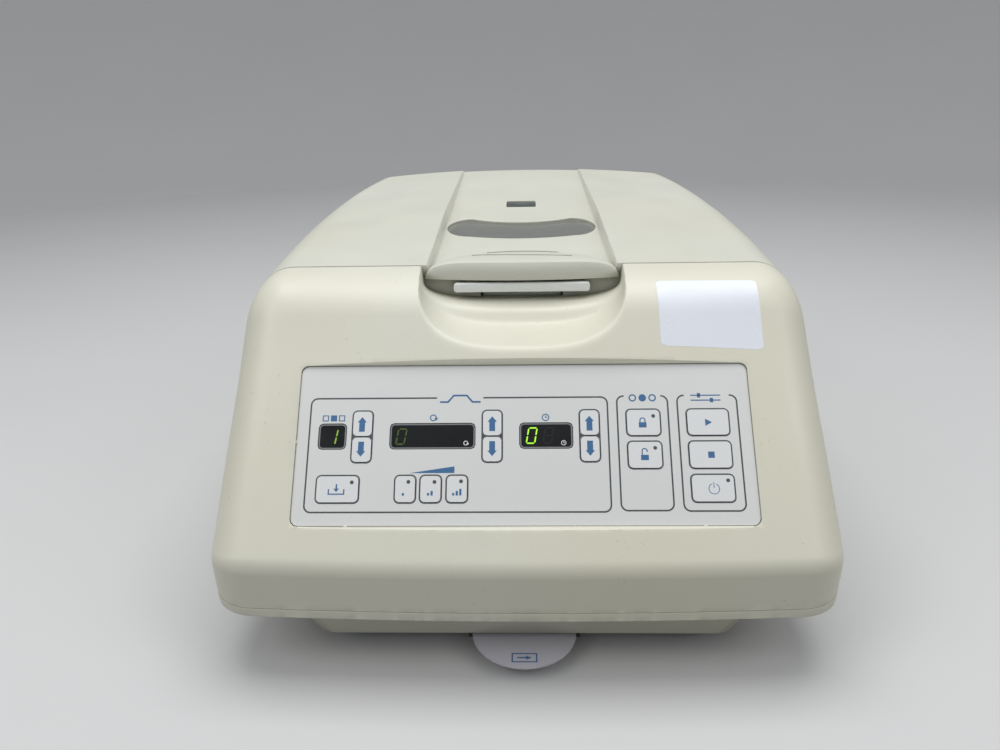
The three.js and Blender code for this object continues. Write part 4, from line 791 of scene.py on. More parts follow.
class Surface:
    """A named node material: a Principled shader fed by noises in the object's own space."""

    def __init__(self, name, color, roughness, metallic=0.0, **sockets):
        materials[name] = bpy.data.materials.new(name)
        materials[name].use_nodes = True
        self.tree = materials[name].node_tree
        self.tree.nodes.clear()
        self.color, self.roughness, self.normal = (*color, 1), roughness, None
        values = {"Base Color": self.color, "Roughness": roughness, "Metallic": metallic}
        values.update((socket.replace("_", " "), value) for socket, value in sockets.items())
        self.shader = self.node("BsdfPrincipled", values)
        self.node("OutputMaterial", {0: self.shader.outputs[0]})
        self.space = self.node("TexCoord").outputs["Object"]

    def node(self, kind, inputs=(), **settings):
        """A node with its settings, and a value or a link for each of the inputs given."""
        made = self.tree.nodes.new(f"ShaderNode{kind}")
        for key, value in settings.items():
            setattr(made, key, value)
        for socket, value in dict(inputs).items():
            if isinstance(value, bpy.types.NodeSocket):
                self.tree.links.new(value, made.inputs[socket])
            else:
                made.inputs[socket].default_value = value
        return made

    def noise(self, scale, detail=3, stretch=None, roughness=0.5):
        source = self.space
        if stretch:
            source = self.node("Mapping", {"Scale": stretch, "Vector": source}).outputs[0]
        inputs = {"Scale": scale, "Detail": detail, "Roughness": roughness, "Vector": source}
        return self.node("TexNoise", inputs).outputs["Fac"]

    def spread(self, source, low, high, to_low=0.0, to_high=1.0):
        return self.node("MapRange", enumerate((source, low, high, to_low, to_high))).outputs[0]

    def combine(self, operation, first, second, **settings):
        return self.node("Math", {0: first, 1: second}, operation=operation, **settings).outputs[0]

    def tint(self, factor, color):
        """Blends another colour over the base by a factor."""
        mix = self.node("Mix", {0: factor, 6: self.color, 7: (*color, 1)}, data_type="RGBA")
        self.color = mix.outputs[2]
        self.tree.links.new(self.color, self.shader.inputs["Base Color"])

    def mottle(self, color, share, low, high, *noise, roughness=0.5):
        """Blends another colour over the base where a noise passes from one level to another."""
        source = self.noise(*noise, roughness=roughness)
        self.tint(self.spread(source, low, high, 0, share), color)

    def sheen(self, source, below, above):
        """Roughness that runs from below to above its plain value."""
        spread = self.spread(source, 0.3, 0.7, self.roughness - below, self.roughness + above)
        self.tree.links.new(spread, self.shader.inputs["Roughness"])

    def bump(self, source, depth, strength=1.0):
        inputs = {"Strength": strength, "Distance": depth * MM, "Height": source}
        if self.normal:
            inputs["Normal"] = self.normal
        self.normal = self.node("Bump", inputs).outputs[0]
        self.tree.links.new(self.normal, self.shader.inputs["Normal"])

    def corners(self, reach):
        """Near 0 deep in seams and inner corners, 1 in the open."""
        return self.node("AmbientOcclusion", {"Distance": reach * MM}, samples=8).outputs["AO"]

    def edges(self, low, high):
        """1 on sharp outer edges, 0 elsewhere."""
        return self.spread(self.node("NewGeometry").outputs["Pointiness"], low, high)


def scaled(color, factor, offset=0.0):
    return tuple(min(1, c * factor + offset) for c in color)


def moulded(name, color, roughness, grain=0.05, dirt=(0.5, 0.45, 0.33), dirt_share=0.1, painted_crevice_shade=None):
    """Injection-moulded plastic: fine grain, slow yellowing, handling marks, and painted shade that darkens
    narrow corners and seams.
    """
    made = Surface(name, color, roughness)
    aged = tuple(c * factor for c, factor in zip(color, (0.96, 0.93, 0.84)))
    made.mottle(aged, 0.6, 0.35, 0.75, 5, 2)
    made.mottle(dirt, dirt_share, 0.58, 0.8, 38, 5, roughness=0.65)
    fine, coarse = made.spread(made.noise(420, 1), 0.71, 0.74), made.spread(made.noise(30, 2), 0.45, 0.6)
    patches = made.spread(made.noise(7), 0.4, 0.6, 0.1, 0.55)
    made.tint(made.combine("MULTIPLY", made.combine("MULTIPLY", fine, coarse), patches), dirt)
    # Painted shade: an ambient-occlusion mask darkens the colour under the lip, in the finger recess and
    # along seams.
    if painted_crevice_shade:
        made.tint(made.spread(made.corners(26), 0.66, 0.14, 0, 0.85), painted_crevice_shade)
    made.sheen(made.noise(22, 4), 0.06, 0.08)
    made.bump(made.noise(1500, 2), grain)
    made.bump(made.noise(14, 2), 0.12, 0.35)


def film(name, color, roughness=0.38):
    """Satin printed film: faint mottling, finger marks, a few scuffs, and painted shade that darkens its
    edges and the gaps round it.
    """
    made = Surface(name, color, roughness, Coat_Weight=0.12, Coat_Roughness=0.25)
    made.mottle(scaled(color, 0.94), 0.5, 0.35, 0.75, 9, 3)
    made.mottle((0.45, 0.43, 0.38), 0.1, 0.66, 0.85, 55, 6, roughness=0.7)
    # Painted shade: an ambient-occlusion mask darkens the film in the narrow gaps round the panel and the
    # keys.
    made.tint(made.spread(made.corners(2.4), 0.6, 0.35, 0, 0.8), (0.16, 0.155, 0.13))
    made.sheen(made.noise(35, 5), 0.08, 0.1)
    made.bump(made.noise(2200, 1), 0.012)


def ink(name, color, roughness=0.45):
    made = Surface(name, color, roughness)
    made.mottle(scaled(color, 1.5, 0.02), 0.35, 0.5, 0.8, 600, 3)
    made.sheen(made.noise(90, 2), 0.05, 0.08)
    made.bump(made.noise(2500, 1), 0.01)


def glow(name, color, strength, unlit):
    made = Surface(name, unlit, 0.4, Emission_Color=(*color, 1), Emission_Strength=strength)
    made.mottle(scaled(unlit, 0.6), 0.5, 0.4, 0.7, 900, 2)
    made.bump(made.noise(2500, 1), 0.01)


def rubber_surface(name):
    made = Surface(name, (0.022, 0.022, 0.023), 0.82)
    made.mottle((0.12, 0.115, 0.105), 0.45, 0.5, 0.75, 45, 5, roughness=0.7)
    made.sheen(made.noise(60, 3), 0.1, 0.1)
    made.bump(made.noise(1300, 3), 0.06)


def metal(name, color, roughness, stretch, scratches=0.02):
    """Bare metal with a brushed grain along one direction."""
    made = Surface(name, color, roughness, 1.0)
    made.mottle(scaled(color, 0.6), 0.25, 0.45, 0.8, 12, 5, roughness=0.6)
    grain = made.noise(600, 4, stretch)
    made.tint(made.spread(grain, 0.4, 0.7, 0, 0.25), scaled(color, 1.25))
    made.sheen(grain, 0.1, 0.12)
    made.bump(grain, scratches)


def turned_metal(name, color, roughness):
    """Aluminium or steel turned on a lathe: fine rings round the spindle's axis."""
    made = Surface(name, color, roughness, 1.0)
    move = {"Location": (0, -spindle_y * MM, 0), "Vector": made.space}
    mapping = made.node("Mapping", move, vector_type="POINT")
    values = {"Scale": 240, "Distortion": 1.5, "Detail": 3, "Vector": mapping.outputs[0]}
    rings = made.node("TexWave", values, wave_type="RINGS", rings_direction="Z").outputs["Fac"]
    made.mottle(scaled(color, 0.62), 0.3, 0.45, 0.8, 14, 5)
    made.sheen(rings, 0.07, 0.1)
    made.bump(rings, 0.012)


def painted(name, color, roughness):
    made = Surface(name, color, roughness, Coat_Weight=0.2, Coat_Roughness=0.3)
    made.mottle(scaled(color, 1.7, 0.01), 0.5, 0.5, 0.8, 20, 4)
    worn = made.combine("MULTIPLY", made.edges(0.53, 0.6), made.spread(made.noise(90), 0.45, 0.65))
    made.tint(worn, (0.3, 0.29, 0.27))
    made.sheen(made.noise(30, 3), 0.08, 0.1)
    made.bump(made.noise(900, 3), 0.05)


def board_surface(name):
    """Lacquered circuit board: tracks, pads and a glossy green mask."""
    made = Surface(name, (0.012, 0.105, 0.04), 0.3, Coat_Weight=0.6, Coat_Roughness=0.15)
    values = {"Color1": (0, 0, 0, 1), "Color2": (0, 0, 0, 1), "Mortar": (1, 1, 1, 1), "Scale": 130.0}
    values |= {"Mortar Size": 0.035, "Brick Width": 0.9, "Row Height": 0.16, "Vector": made.space}
    tracks = made.node("TexBrick", values, offset=0.35, squash=1.4).outputs["Color"]
    made.tint(made.spread(tracks, 0.2, 0.6, 0, 0.7), (0.03, 0.22, 0.07))
    pads = made.node("TexVoronoi", {"Scale": 240, "Vector": made.space}).outputs["Distance"]
    made.tint(made.spread(pads, 0.17, 0.13), (0.55, 0.53, 0.48))
    made.sheen(made.noise(40, 2), 0.08, 0.1)
    made.bump(tracks, 0.03)


def pane_surface(name, color, depth):
    """Smoked clear plastic with fine wiping scratches."""
    made = Surface(name, color, 0.12, Transmission_Weight=depth, IOR=1.49, Coat_Weight=0.3)
    scratches = made.noise(260, 5, (1, 14, 1))
    made.mottle(scaled(color, 1.3), 0.3, 0.5, 0.8, 40, 4)
    made.sheen(scratches, 0.05, 0.12)
    made.bump(scratches, 0.004)


# The casing and lid plastics take a dark colour for painted shade in their narrow corners and seams.
moulded("casing_plastic", (0.69, 0.68, 0.585), 0.4, painted_crevice_shade=(0.2, 0.195, 0.13))
moulded("lid_plastic", (0.625, 0.627, 0.555), 0.4, painted_crevice_shade=(0.2, 0.195, 0.14))
moulded("white_plastic", (0.78, 0.8, 0.8), 0.34, 0.02, (0.4, 0.38, 0.33))
moulded("black_plastic", (0.018, 0.018, 0.019), 0.45, 0.06, (0.1, 0.095, 0.085), 0.3)
moulded("card_plastic", (0.545, 0.53, 0.6), 0.33, 0.01, (0.35, 0.33, 0.33))
moulded("lens_black", (0.01, 0.011, 0.012), 0.12, 0.004, (0.05, 0.05, 0.05), 0.2)
film("panel_film", (0.7, 0.71, 0.7))
film("key_film", (0.74, 0.75, 0.76))
film("sticker_paper", (0.76, 0.79, 0.86), 0.3)
rubber_surface("rubber")
metal("brushed_steel", (0.6, 0.61, 0.62), 0.3, (1, 25, 25))
metal("plate_aluminium", (0.66, 0.67, 0.68), 0.38, (1, 20, 30), 0.03)
turned_metal("turned_steel", (0.6, 0.61, 0.62), 0.24)
turned_metal("turned_aluminium", (0.66, 0.67, 0.68), 0.34)
painted("dark_paint", (0.06, 0.06, 0.065), 0.42)
board_surface("board_green")
pane_surface("window_smoke", (0.33, 0.34, 0.315), 0.5)
pane_surface("port_smoke", (0.075, 0.095, 0.09), 0.3)
ink("grey_ink", (0.075, 0.08, 0.085))
ink("outline_ink", (0.07, 0.075, 0.085))
ink("rim_ink", (0.2, 0.21, 0.22))
ink("blue_ink", (0.05, 0.145, 0.31))
ink("white_ink", (0.75, 0.76, 0.76))
glow("lit_green", (0.42, 0.9, 0.04), 0.8, (0.2, 0.5, 0.02))
glow("soft_green", (0.4, 0.7, 0.05), 0.45, (0.1, 0.2, 0.02))
glow("dim_green", (0.16, 0.3, 0.03), 0.2, (0.03, 0.05, 0.01))
glow("unlit_green", (0.1, 0.1, 0.05), 0.0, (0.013, 0.015, 0.013))


# Printed marks: flat shapes in the panel frame


class Marks:
    """Strokes and filled outlines, given in (u, v) and gathered into one thin mesh."""

    def __init__(self, low, high, put=on_panel):
        self.low, self.high, self.put = low, high, put
        self.verts, self.faces = [], []

    def stroke(self, path, width, closed=False, at=(0, 0)):
        """A line of four-cornered cross-sections along a path."""
        start, count = len(self.verts), len(path)
        for i, (u, v) in enumerate(path):
            before = path[i - 1] if i or closed else path[i]
            after = path[(i + 1) % count] if i < count - 1 or closed else path[i]
            runs = [(u - before[0], v - before[1]), (after[0] - u, after[1] - v)]
            units = [(a / hypot(a, b), b / hypot(a, b)) for a, b in runs if hypot(a, b)]
            along = (sum(a for a, _ in units), sum(b for _, b in units))
            length = hypot(*along)
            reach = width / 2 * len(units) / max(length, 0.7)
            du, dv = -along[1] / length * reach, along[0] / length * reach
            for sign, heights in ((1, (self.low, self.high)), (-1, (self.high, self.low))):
                place_u, place_v = at[0] + u + sign * du, at[1] + v + sign * dv
                self.verts += [self.put(place_u, place_v, w) for w in heights]
        starts = [start + 4 * i for i in range(count)]
        self.faces += band_faces(starts + [start] if closed else starts, 4)
        if not closed:
            end = starts[-1]
            self.faces += [(start, start + 3, start + 2, start + 1), (end, end + 1, end + 2, end + 3)]
        return self

    def fill(self, points, at=(0, 0)):
        start = len(self.verts)
        for w in (self.low, self.high):
            self.verts += [self.put(at[0] + u, at[1] + v, w) for u, v in points]
        self.faces += prism_faces(start, len(points))
        return self

    def draw(self, symbol, at):
        for kind, width, points in symbols[symbol]:
            if kind == "fill":
                self.fill(points, at)
            else:
                self.stroke(points, width, kind == "loop", at)
        return self

    def make(self, name, body, material, slot="panel"):
        return place(new_object(self.verts, self.faces), name, body, material, slot)


def print_on(level):
    """Marks printed on a surface at a level of the panel frame."""
    return Marks(level - print_sink, level + print_height)


def block(width, height, centre=(0, 0)):
    a, b = width / 2, height / 2
    return [(centre[0] + x, centre[1] + y) for x, y in ((-a, -b), (a, -b), (a, b), (-a, b))]


def padlock(lift):
    end = (1.5, 1.1 + lift if lift else 0.6)
    shackle = [(-1.5, 0.6), *arc_degrees(1.5, 180, 0, (0, 1.7 + lift), 12), end]
    return [("fill", 0, block(4.6, 3.2, (0, -1.1))), ("line", 0.65, shackle)]


def bars(count):
    places = [(2.1 * (i - (count - 1) / 2), 0.6 * i - 1) for i in range(count)]
    return [("fill", 0, block(1.3, 1.5 + 1.2 * i, centre)) for i, centre in enumerate(places)]


def clock(radius, width):
    hands = [(0, radius * 0.62), (0, 0), (radius * 0.5, -radius * 0.1)]
    return [("loop", width, circle(radius)), ("line", width * 0.85, hands)]


def turn_arrow(radius, width):
    tip = 0.95 * radius
    head = [(radius - tip * 0.75, -0.1), (radius + tip * 0.75, -0.1), (radius, -tip - 0.1)]
    return [("line", width, arc_degrees(radius, 320, 0)), ("fill", 0, head)]


arrow = [(-1.75, -4.55), (1.75, -4.55), (1.75, 1.25), (2.8, 1.25), (0, 4.6), (-2.8, 1.25), (-1.75, 1.25)]
symbols = {
    "up": [("fill", 0, arrow)],
    "down": [("fill", 0, [(u, -v) for u, v in reversed(arrow)])],
    "save": [
        ("line", 0.75, [(-4.6, 0.4), (-4.6, -2.6), (4.6, -2.6), (4.6, 0.4)]),
        ("line", 0.9, [(0, 3.4), (0, 0.6)]),
        ("fill", 0, [(-1.7, 0.7), (0, -1.3), (1.7, 0.7)]),
    ],
    "one": bars(1),
    "two": bars(2),
    "three": bars(3),
    "locked": padlock(0),
    "unlocked": padlock(1.1),
    "start": [("fill", 0, [(-1.9, -2.2), (2.2, 0), (-1.9, 2.2)])],
    "stop": [("fill", 0, block(3.8, 3.8))],
    "power": [("line", 0.4, arc_degrees(3.1, 115, 425)), ("line", 0.4, [(0, 0.4), (0, 3.9)])],
    "choices": [
        ("loop", 0.6, block(3.2, 3.2, (-5, 0))),
        ("fill", 0, block(3.8, 3.8)),
        ("loop", 0.6, block(3.2, 3.2, (5, 0))),
    ],
    "turn": turn_arrow(1.8, 0.65),
    "clock": clock(2, 0.6),
    "small_turn": turn_arrow(1.2, 0.45),
    "small_clock": clock(1.35, 0.4),
    "ramp": [("fill", 0, [(-13.5, -1.9), (13.5, -1.9), (13.5, 2.1)])],
    "profile": [("line", 1.1, [(-12.5, -2), (-7.5, -2), (-4, 2.1), (4, 2.1), (7.5, -2), (12.5, -2)])],
    "lamps": [
        ("loop", 0.8, circle(1.9, centre=(-6, 0))),
        ("fill", 0, circle(2.3)),
        ("loop", 0.8, circle(1.9, centre=(6, 0))),
    ],
    "sliders": [
        ("line", 0.7, [(-9, 1.5), (9, 1.5)]),
        ("line", 0.7, [(-9, -1.6), (9, -1.6)]),
        ("fill", 0, block(1.9, 2.8, (-4, 1.5))),
        ("fill", 0, block(1.9, 2.8, (3.6, -1.6))),
    ],
}


def panel_span(name):
    """A node's extent in the panel frame."""
    foot = Vector(panel_foot)
    local = [Vector(v.co) / MM - foot for v in nodes[name].data.vertices]
    spans = [(p.x, p.y * panel_cos + p.z * panel_sin, p.z * panel_cos - p.y * panel_sin) for p in local]
    return [(min(values), max(values)) for values in zip(*spans)]


# Pieces


def wear(made, material):
    made.data.materials.clear()
    made.data.materials.append(materials[material])


def place(made, name, body, material, slot, *stands_for):
    made.name = name
    wear(made, material)
    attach(made, body)
    if stands_for:
        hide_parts(*stands_for)
    return made


case = bevel(make_upper_case(), case_rounding)
lid = bevel(make_lid_cover(), lid_rounding)
tray = bevel(make_base_tray(), tray_rounding)
lever = shade(make_lever(), smooth_angle=50)
window = bevel(make_pane(kidney_outline(0)), window_rounding)
port = bevel(make_pane(port_outline(0)), port_rounding)
place(case, "upper_case_shell", "base", "casing_plastic", "casing", "upper_case")
place(lid, "lid_cover_shell", "lid", "lid_plastic", "lid_casing", "lid_cover")
place(tray, "base_tray_shell", "base", "casing_plastic", "casing", "base_tray")
place(lever, "latch_lever_shell", "latch_lever", "white_plastic", "latch", "latch_lever")
place(window, "lid_window_pane", "lid", "window_smoke", "window", "lid_window")
place(port, "speed_port_pane", "lid", "port_smoke", "window", "speed_port_window")

# Solids that are shown as they are: finish, rounding of the edges, nodes

black_nodes = ["card_guide", "power_inlet", "power_rocker", "fuse_drawer", "rotor_carrier", "rotor_knob"]
finishes = [
    ("panel_film", 0.12, ["control_panel"]),
    ("key_film", 0.18, [n for n in nodes if n.endswith(("_key", "_lamp"))]),
    ("rubber", 0.4, [n for n in nodes if n.endswith("_foot") or "damper" in n or n == "bowl_seal"]),
    ("lens_black", 0.1, [n for n in nodes if n.endswith("_display")]),
    ("brushed_steel", 0.4, [n for n in nodes if "hinge" in n] + ["lock_bolt"]),
    ("turned_steel", 0.4, ["chamber_bowl", "drive_shaft"]),
    ("turned_aluminium", 0.4, ["rotor_base", "rotor_lid", "motor_plate"]),
    ("plate_aluminium", 0.4, ["rear_panel"]),
    ("dark_paint", 0.4, ["transformer", "lock_solenoid", "motor_housing"]),
    ("board_green", 0.15, ["keypad_board", "main_board"]),
    ("black_plastic", 0.4, black_nodes),
    ("card_plastic", 0.15, ["program_card"]),
    ("casing_plastic", 0.6, ["lid_liner"]),
]
for material, rounding, names in finishes:
    for node in (nodes[name] for name in names):
        wear(node, material)
        shade(node)
        add_bevel(node, rounding, segments=3, angle=40, harden_normals=True)

# Print on the panel, the keys and the displays

frames = [  # left, right, low, high, and the gap in the top line
    (-130.1, 51.6, 7.9, 77.5, -52.5, -24),
    (57.4, 88.1, 8.6, 78, 61.8, 84),
    (93.9, 129.8, 8.3, 78.2, 98.2, 125.4),
]
captions = {
    "profile": (-38.2, 76.9),
    "lamps": (73, 76.8),
    "sliders": (111.2, 76.7),
    "choices": (-115.6, 65),
    "turn": (-54.5, 65),
    "clock": (13.9, 64.9),
    "ramp": (-54.5, 33),
}
arrow_columns = {"program": -97.9, "speed": -18.5, "time": 40.3}
arrow_rows = {"up": 61, "down": 45.7}
key_marks = {  # symbol, its place, and the place of the key's lamp
    f"{column}_{way}_key": (way, (u, v), None)
    for column, u in arrow_columns.items()
    for way, v in arrow_rows.items()
}
single_key_marks = {
    "save_key": ("save", (-111.3, 21.2), (-102.2, 25.6)),
    "slow_ramp_key": ("one", (-71.3, 19.4), (-68.3, 25.8)),
    "medium_ramp_key": ("two", (-55.3, 19.4), (-52.7, 25.7)),
    "fast_ramp_key": ("three", (-39.3, 19.4), (-36.9, 26)),
    "start_key": ("start", (111.7, 61.2), None),
    "stop_key": ("stop", (112, 41.4), None),
    "power_key": ("power", (112, 21.2), (120.5, 26.1)),
    "lid_locked_lamp": ("locked", (72.3, 60.9), (78.9, 65.3)),
    "lid_open_lamp": ("unlocked", (72.6, 41), (79, 45.7)),
}
outlined = [[f"{column}_{way}_key" for way in arrow_rows] for column in arrow_columns]
outlined += [[name] for name in single_key_marks]


def open_frame(left, right, low, high, gap_start, gap_end):
    """A rounded frame, clockwise from the right end of the gap in its top line."""
    r = frame_radius
    corners = [(right - r, high - r), (right - r, low + r), (left + r, low + r), (left + r, high - r)]
    path = [(gap_end, high)]
    for i, corner in enumerate(corners):
        path += arc_degrees(r, 90 * (1 - i), -90 * i, corner, steps=8)
    return path + [(gap_start, high)]


def rounded_box(across, along, grow, radius):
    (left, right), (low, high) = across, along
    centre = ((left + right) / 2, (low + high) / 2)
    return rounded_rectangle(right - left + 2 * grow, high - low + 2 * grow, radius, centre, steps=6)


def key_outline(marks, names):
    """One printed line round a key, or round a pair of keys one over the other."""
    spans = [panel_span(name) for name in names]
    left, right = spans[0][0]
    along = (spans[-1][1][0], spans[0][1][1])
    outline = rounded_box((left, right), along, outline_room, key_radius + outline_room)
    marks.stroke(outline, outline_width, True)
    if len(spans) < 2:
        return
    low, high = spans[0][1][0], spans[1][1][1]
    centre = ((left + right) / 2, (low + high) / 2)
    marks.fill(block(right - left - 2 * key_radius, low - high - 2 * rest_gap, centre))
    quarter = arc((0, 0), key_radius + rest_gap, 0, pi / 2, steps=6)
    for edge, sign in ((left, -1), (right, 1)):
        pivot = edge - sign * key_radius
        upper = [(pivot + sign * a, low + key_radius - b) for a, b in quarter]
        lower = [(pivot + sign * a, high - key_radius + b) for a, b in reversed(quarter)]
        marks.fill(upper + lower)


panel_top = panel_span("control_panel")[2][1]
grey_marks, blue_marks = print_on(panel_top), print_on(panel_top)
for outline in frames:
    grey_marks.stroke(open_frame(*outline), frame_width)
for names in outlined:
    key_outline(grey_marks, names)
grey_marks.make("panel_frame_print", "base", "outline_ink")
for symbol, at in captions.items():
    blue_marks.draw(symbol, at)
blue_marks.make("panel_caption_print", "base", "blue_ink")

for key, (symbol, at, lamp) in {**key_marks, **single_key_marks}.items():
    top = panel_span(key)[2][1]
    body = "base" if key.endswith("_lamp") else key
    if lamp:
        dot = print_on(top).fill(circle(lamp_radius), lamp)
        dot.make(f"{key}_light", body, "grey_ink", "keys")
    print_on(top).draw(symbol, at).make(f"{key}_mark", body, "blue_ink", "keys")

# Display rims and digits

digit_height, digit_width, digit_lean = 9.4, 5, tan(radians(10))
segment_half, segment_inset = 0.425, 0.25
segment_ends = {
    "a": ((0, 2), (1, 2)),
    "b": ((1, 2), (1, 1)),
    "c": ((1, 1), (1, 0)),
    "d": ((0, 0), (1, 0)),
    "e": ((0, 1), (0, 0)),
    "f": ((0, 2), (0, 1)),
    "g": ((0, 1), (1, 1)),
}
readouts = {
    "program_display": [("soft_green", "bc", (-118.4, 53.5))],
    "speed_display": [("dim_green", "abcdef", (-76.2, 53.5))],
    "time_display": [("lit_green", "abcdef", (2.9, 53.7)), ("unlit_green", "abcdefg", (13, 53.7))],
}
units = {"speed_display": ("small_turn", (-34.5, 49.3)), "time_display": ("small_clock", (24.6, 49.2))}
rim_inset, rim_radius, rim_width = 0.55, 2.4, 0.8


def digit(marks, segments, at):
    """Pointed bars of a seven-segment digit, leaning to the right."""
    half, inset = segment_half, segment_inset
    for letter in segments:
        ends = [(x * digit_width, (y - 1) * digit_height / 2) for x, y in segment_ends[letter]]
        (x0, y0), (x1, y1) = ends
        length = hypot(x1 - x0, y1 - y0)
        a, b = (x1 - x0) / length, (y1 - y0) / length
        near, far = inset + half, length - inset - half
        corners = [(inset, 0), (near, half), (far, half), (length - inset, 0), (far, -half), (near, -half)]
        points = [(x0 + a * p - b * q, y0 + b * p + a * q) for p, q in corners]
        marks.fill([(x + y * digit_lean, y) for x, y in points], at)
    return marks


for display, digits in readouts.items():
    across, along, (_, top) = panel_span(display)
    rim = rounded_box(across, along, -rim_inset, rim_radius)
    print_on(top).stroke(rim, rim_width, True).make(f"{display}_rim", "base", "rim_ink", "display")
    for i, (material, segments, at) in enumerate(digits):
        digit(print_on(top), segments, at).make(f"{display}_digits_{i}", "base", material, "display")
    if display in units:
        print_on(top).draw(*units[display]).make(f"{display}_unit", "base", "white_ink", "display")

# Small pieces: tabs round the panel and the rear plate's screws

tabs = {  # place and size
    "left_foot_tab": (-104.6, -0.5, 2.4, 1.8),
    "right_foot_tab": (105.5, -0.5, 2.4, 1.8),
    "side_tab": (-137.8, 50.2, 1.8, 2.4),
}
tab_radius, tab_top, tab_rounding = 0.4, 0.35, 0.15
for name, (u, v, width, height) in tabs.items():
    outline = rounded_rectangle(width, height, tab_radius, (u, v), steps=4)
    tab = bevel(prism(outline, -panel_thickness / 2, tab_top, on_panel), tab_rounding)
    place(tab, name, "base", "casing_plastic", "casing")


def screw_head(x, y, z):
    """Domed head with a cross recess, facing the rear."""
    profile = [(screw_radius, -screw_sink)] + [(a * screw_radius, b * screw_radius) for a, b in screw_dome]
    rings = [[(a, y + out, b) for a, b in circle(radius, 24, (x, z))] for radius, out in profile]
    depth, reach, width = (share * screw_radius for share in (0.7, 0.62, 0.2))
    top = y + profile[-1][1]
    slots = [
        box_mesh((x - a, top - depth, z - b), (x + a, top + screw_radius, z + b))
        for a, b in ((reach, width), (width, reach))
    ]
    return cut(rings_mesh(rings), *slots)


plate_face = max(v.co.y for v in nodes["rear_panel"].data.vertices) / MM
for i, (x, z) in enumerate([(-69, 71), (69, 71), (-69, 119), (69, 119)]):
    screw = screw_head(x, plate_face, z)
    place(screw, f"rear_panel_screw_{i + 1}", "base", "brushed_steel", "steel")

# Pieces that follow the casing's surface


def surface_over(made):
    """The height of a made piece's top surface, as a function of x and y."""
    tree = BVHTree.FromObject(made, bpy.context.evaluated_depsgraph_get())

    def height(x, y):
        found = tree.ray_cast(Vector((x, y, roof_rear_z + overrun)) * MM, Vector((0, 0, -1)))[0]
        return found.z / MM

    return height


def patch(height, across, along, lift):
    """A thin sheet laid on the surface between two edges each way, with nipped corners."""
    count, rows, end_nip, next_nip = 30, 24, 1.2, 0.35
    xs = [across[0] + (across[1] - across[0]) * i / count for i in range(count + 1)]
    ys = [along[0] + (along[1] - along[0]) * i / rows for i in range(rows + 1)]
    rings = []
    for i, x in enumerate(xs):
        nip = end_nip if i in (0, count) else next_nip if i in (1, count - 1) else 0
        row = [min(max(y, ys[0] + nip), ys[-1] - nip) for y in ys]
        top = [(x, y, height(x, y) + lift) for y in row]
        rings.append(top + [(x, y, height(x, y) - lift) for y in reversed(row)])
    return rings_mesh(rings)


case_height, lid_height = surface_over(case), surface_over(lid)
sticker_lift = 0.12
sticker = patch(case_height, (86, 149.5), (-197.6, -165.2), sticker_lift)
place(sticker, "blank_sticker", "base", "sticker_paper", "casing")
ribs = {
    "lower_grip_rib": [(-34.7, -118), (-16.4, -120.5), (2.5, -122.4), (19.7, -124.3), (34.7, -126.8)],
    "upper_grip_rib": [(-25, -99), (-12.3, -95.6), (0.4, -94.6), (14, -95.9), (25.8, -99.6)],
}
rib_low, rib_high, rib_width, rib_rounding = -0.3, 0.95, 2.2, 0.45
for name, line in ribs.items():
    path = []
    for (x0, y0), (x1, y1) in zip(line, line[1:]):
        path += [(x0 + (x1 - x0) * i / 6, y0 + (y1 - y0) * i / 6) for i in range(6)]
    rib = Marks(rib_low, rib_high, lambda x, y, lift: (x, y, lid_height(x, y) + lift))
    rib.stroke(path + [line[-1]], rib_width)
    bevel(rib.make(name, "lid", "lid_plastic", "lid_casing"), rib_rounding)
card_print_low, card_print_high, card_print_y = 10.58, 10.65, -272.5
card_mark = Marks(card_print_low, card_print_high, lambda x, y, z: (x, y, z))
card_mark.stroke(block(15, 7, (0, card_print_y)), 0.9, True)
card_mark.stroke([(-4.6, card_print_y), (1, card_print_y)], 1.1)
card_mark.fill([(1, -274.2), (4.6, card_print_y), (1, -270.8)])
card_mark.make("card_print", "program_card", "blue_ink", "card")

# Floor, light, camera


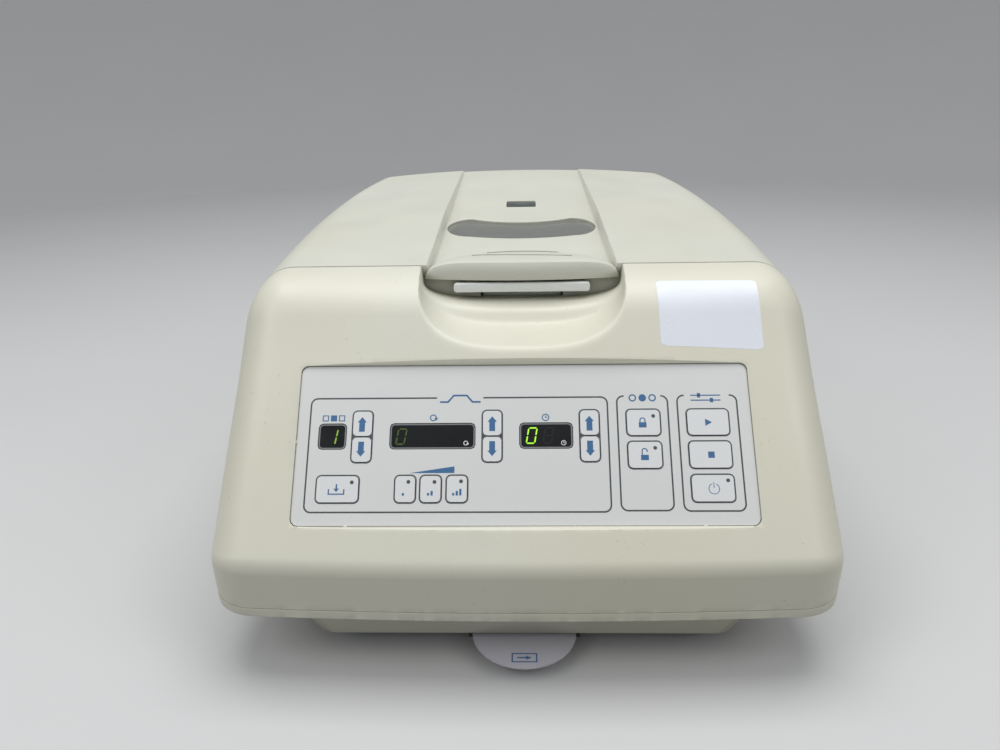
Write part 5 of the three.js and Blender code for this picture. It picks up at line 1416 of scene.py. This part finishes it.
def put_floor():
    """A floor that rises into a round backdrop far from the object."""
    made = Surface("floor_surface", (0.62, 0.62, 0.62), 0.6)
    made.mottle((0.58, 0.58, 0.59), 0.3, 0.3, 0.7, 3)
    made.bump(made.noise(40, 4), 0.2)
    seen = made.node("LightPath").outputs
    direct = made.combine("ADD", seen["Is Camera Ray"], seen["Is Glossy Ray"])
    shown = made.combine("ADD", direct, seen["Is Transmission Ray"], use_clamp=True)
    lit = {0: shown, 6: (0.2, 0.195, 0.185, 1), 7: made.color}  # darker for the light that it throws back
    hidden = made.node("Mix", lit, data_type="RGBA")
    made.tree.links.new(hidden.outputs[2], made.shader.inputs["Base Color"])
    flat, bend, wall_top, steps = 2200, 1500, 4500, 96

    def ring(radius, z):
        return [(x, y, z) for x, y in circle(radius, steps)]

    bends = [radians(90 * k / 16) for k in range(17)]
    rise = [ring(flat + bend * sin(t), bend * (1 - cos(t))) for t in bends] + [ring(flat + bend, wall_top)]
    parts = {
        "floor": rings_mesh([ring(flat * k / 8, 0) for k in range(1, 9)], False),
        "hub": new_object(ring(flat / 8, 0), [tuple(range(steps))]),
        "backdrop": rings_mesh(rise, False),
    }
    parts["backdrop"].visible_diffuse = False
    parts["backdrop"].visible_shadow = False
    for name, part in parts.items():
        part.name = name
        wear(part, "floor_surface")


def put_lamp(name, centre, aim, size, power):
    data = bpy.data.lights.new(name, "AREA")
    data.shape = "RECTANGLE"
    data.size, data.size_y = size[0] * MM, size[1] * MM
    data.energy = power
    made = add_object(name, data)
    made.location = Vector(centre) * MM
    made.rotation_euler = (Vector(aim) - Vector(centre)).to_track_quat("-Z", "Y").to_euler()


def put_world(color, strength):
    world = bpy.data.worlds.new("world")
    world.use_nodes = True
    background = world.node_tree.nodes["Background"]
    background.inputs[0].default_value = (*color, 1)
    background.inputs[1].default_value = strength
    bpy.context.scene.world = world


def put_camera(centre, angles, lens):
    """The photo's camera: where it stands, and its yaw, pitch and roll."""
    yaw, pitch, roll = (radians(angle) for angle in angles)
    turn = Matrix.Rotation(yaw, 3, "Z") @ Matrix.Rotation(-pitch, 3, "X") @ Matrix.Rotation(roll, 3, "Y")
    right, forward, up = turn.col
    data = bpy.data.cameras.new("camera")
    data.sensor_width = 36
    data.lens = lens
    data.clip_start = 0.01
    made = add_object("camera", data)
    made.matrix_world = Matrix((right, up, -forward)).transposed().to_4x4()
    made.matrix_world.translation = Vector(centre) * MM
    bpy.context.scene.camera = made


put_floor()
put_world((0.9, 0.93, 0.95), 0.43)
put_lamp("ceiling", (0, 50, 1800), (0, -50, 100), (1700, 900), 20)
put_lamp("window_left", (-1300, -1000, 1400), (0, -150, 150), (1000, 1000), 7.5)
put_lamp("window_right", (1400, -900, 1300), (0, -150, 150), (1000, 1000), 6)
put_camera((-0.05, -638.36, 342.04), (1.8279, 21.5095, 1.0974), 27)
bpy.context.scene.view_settings.view_transform = "Standard"
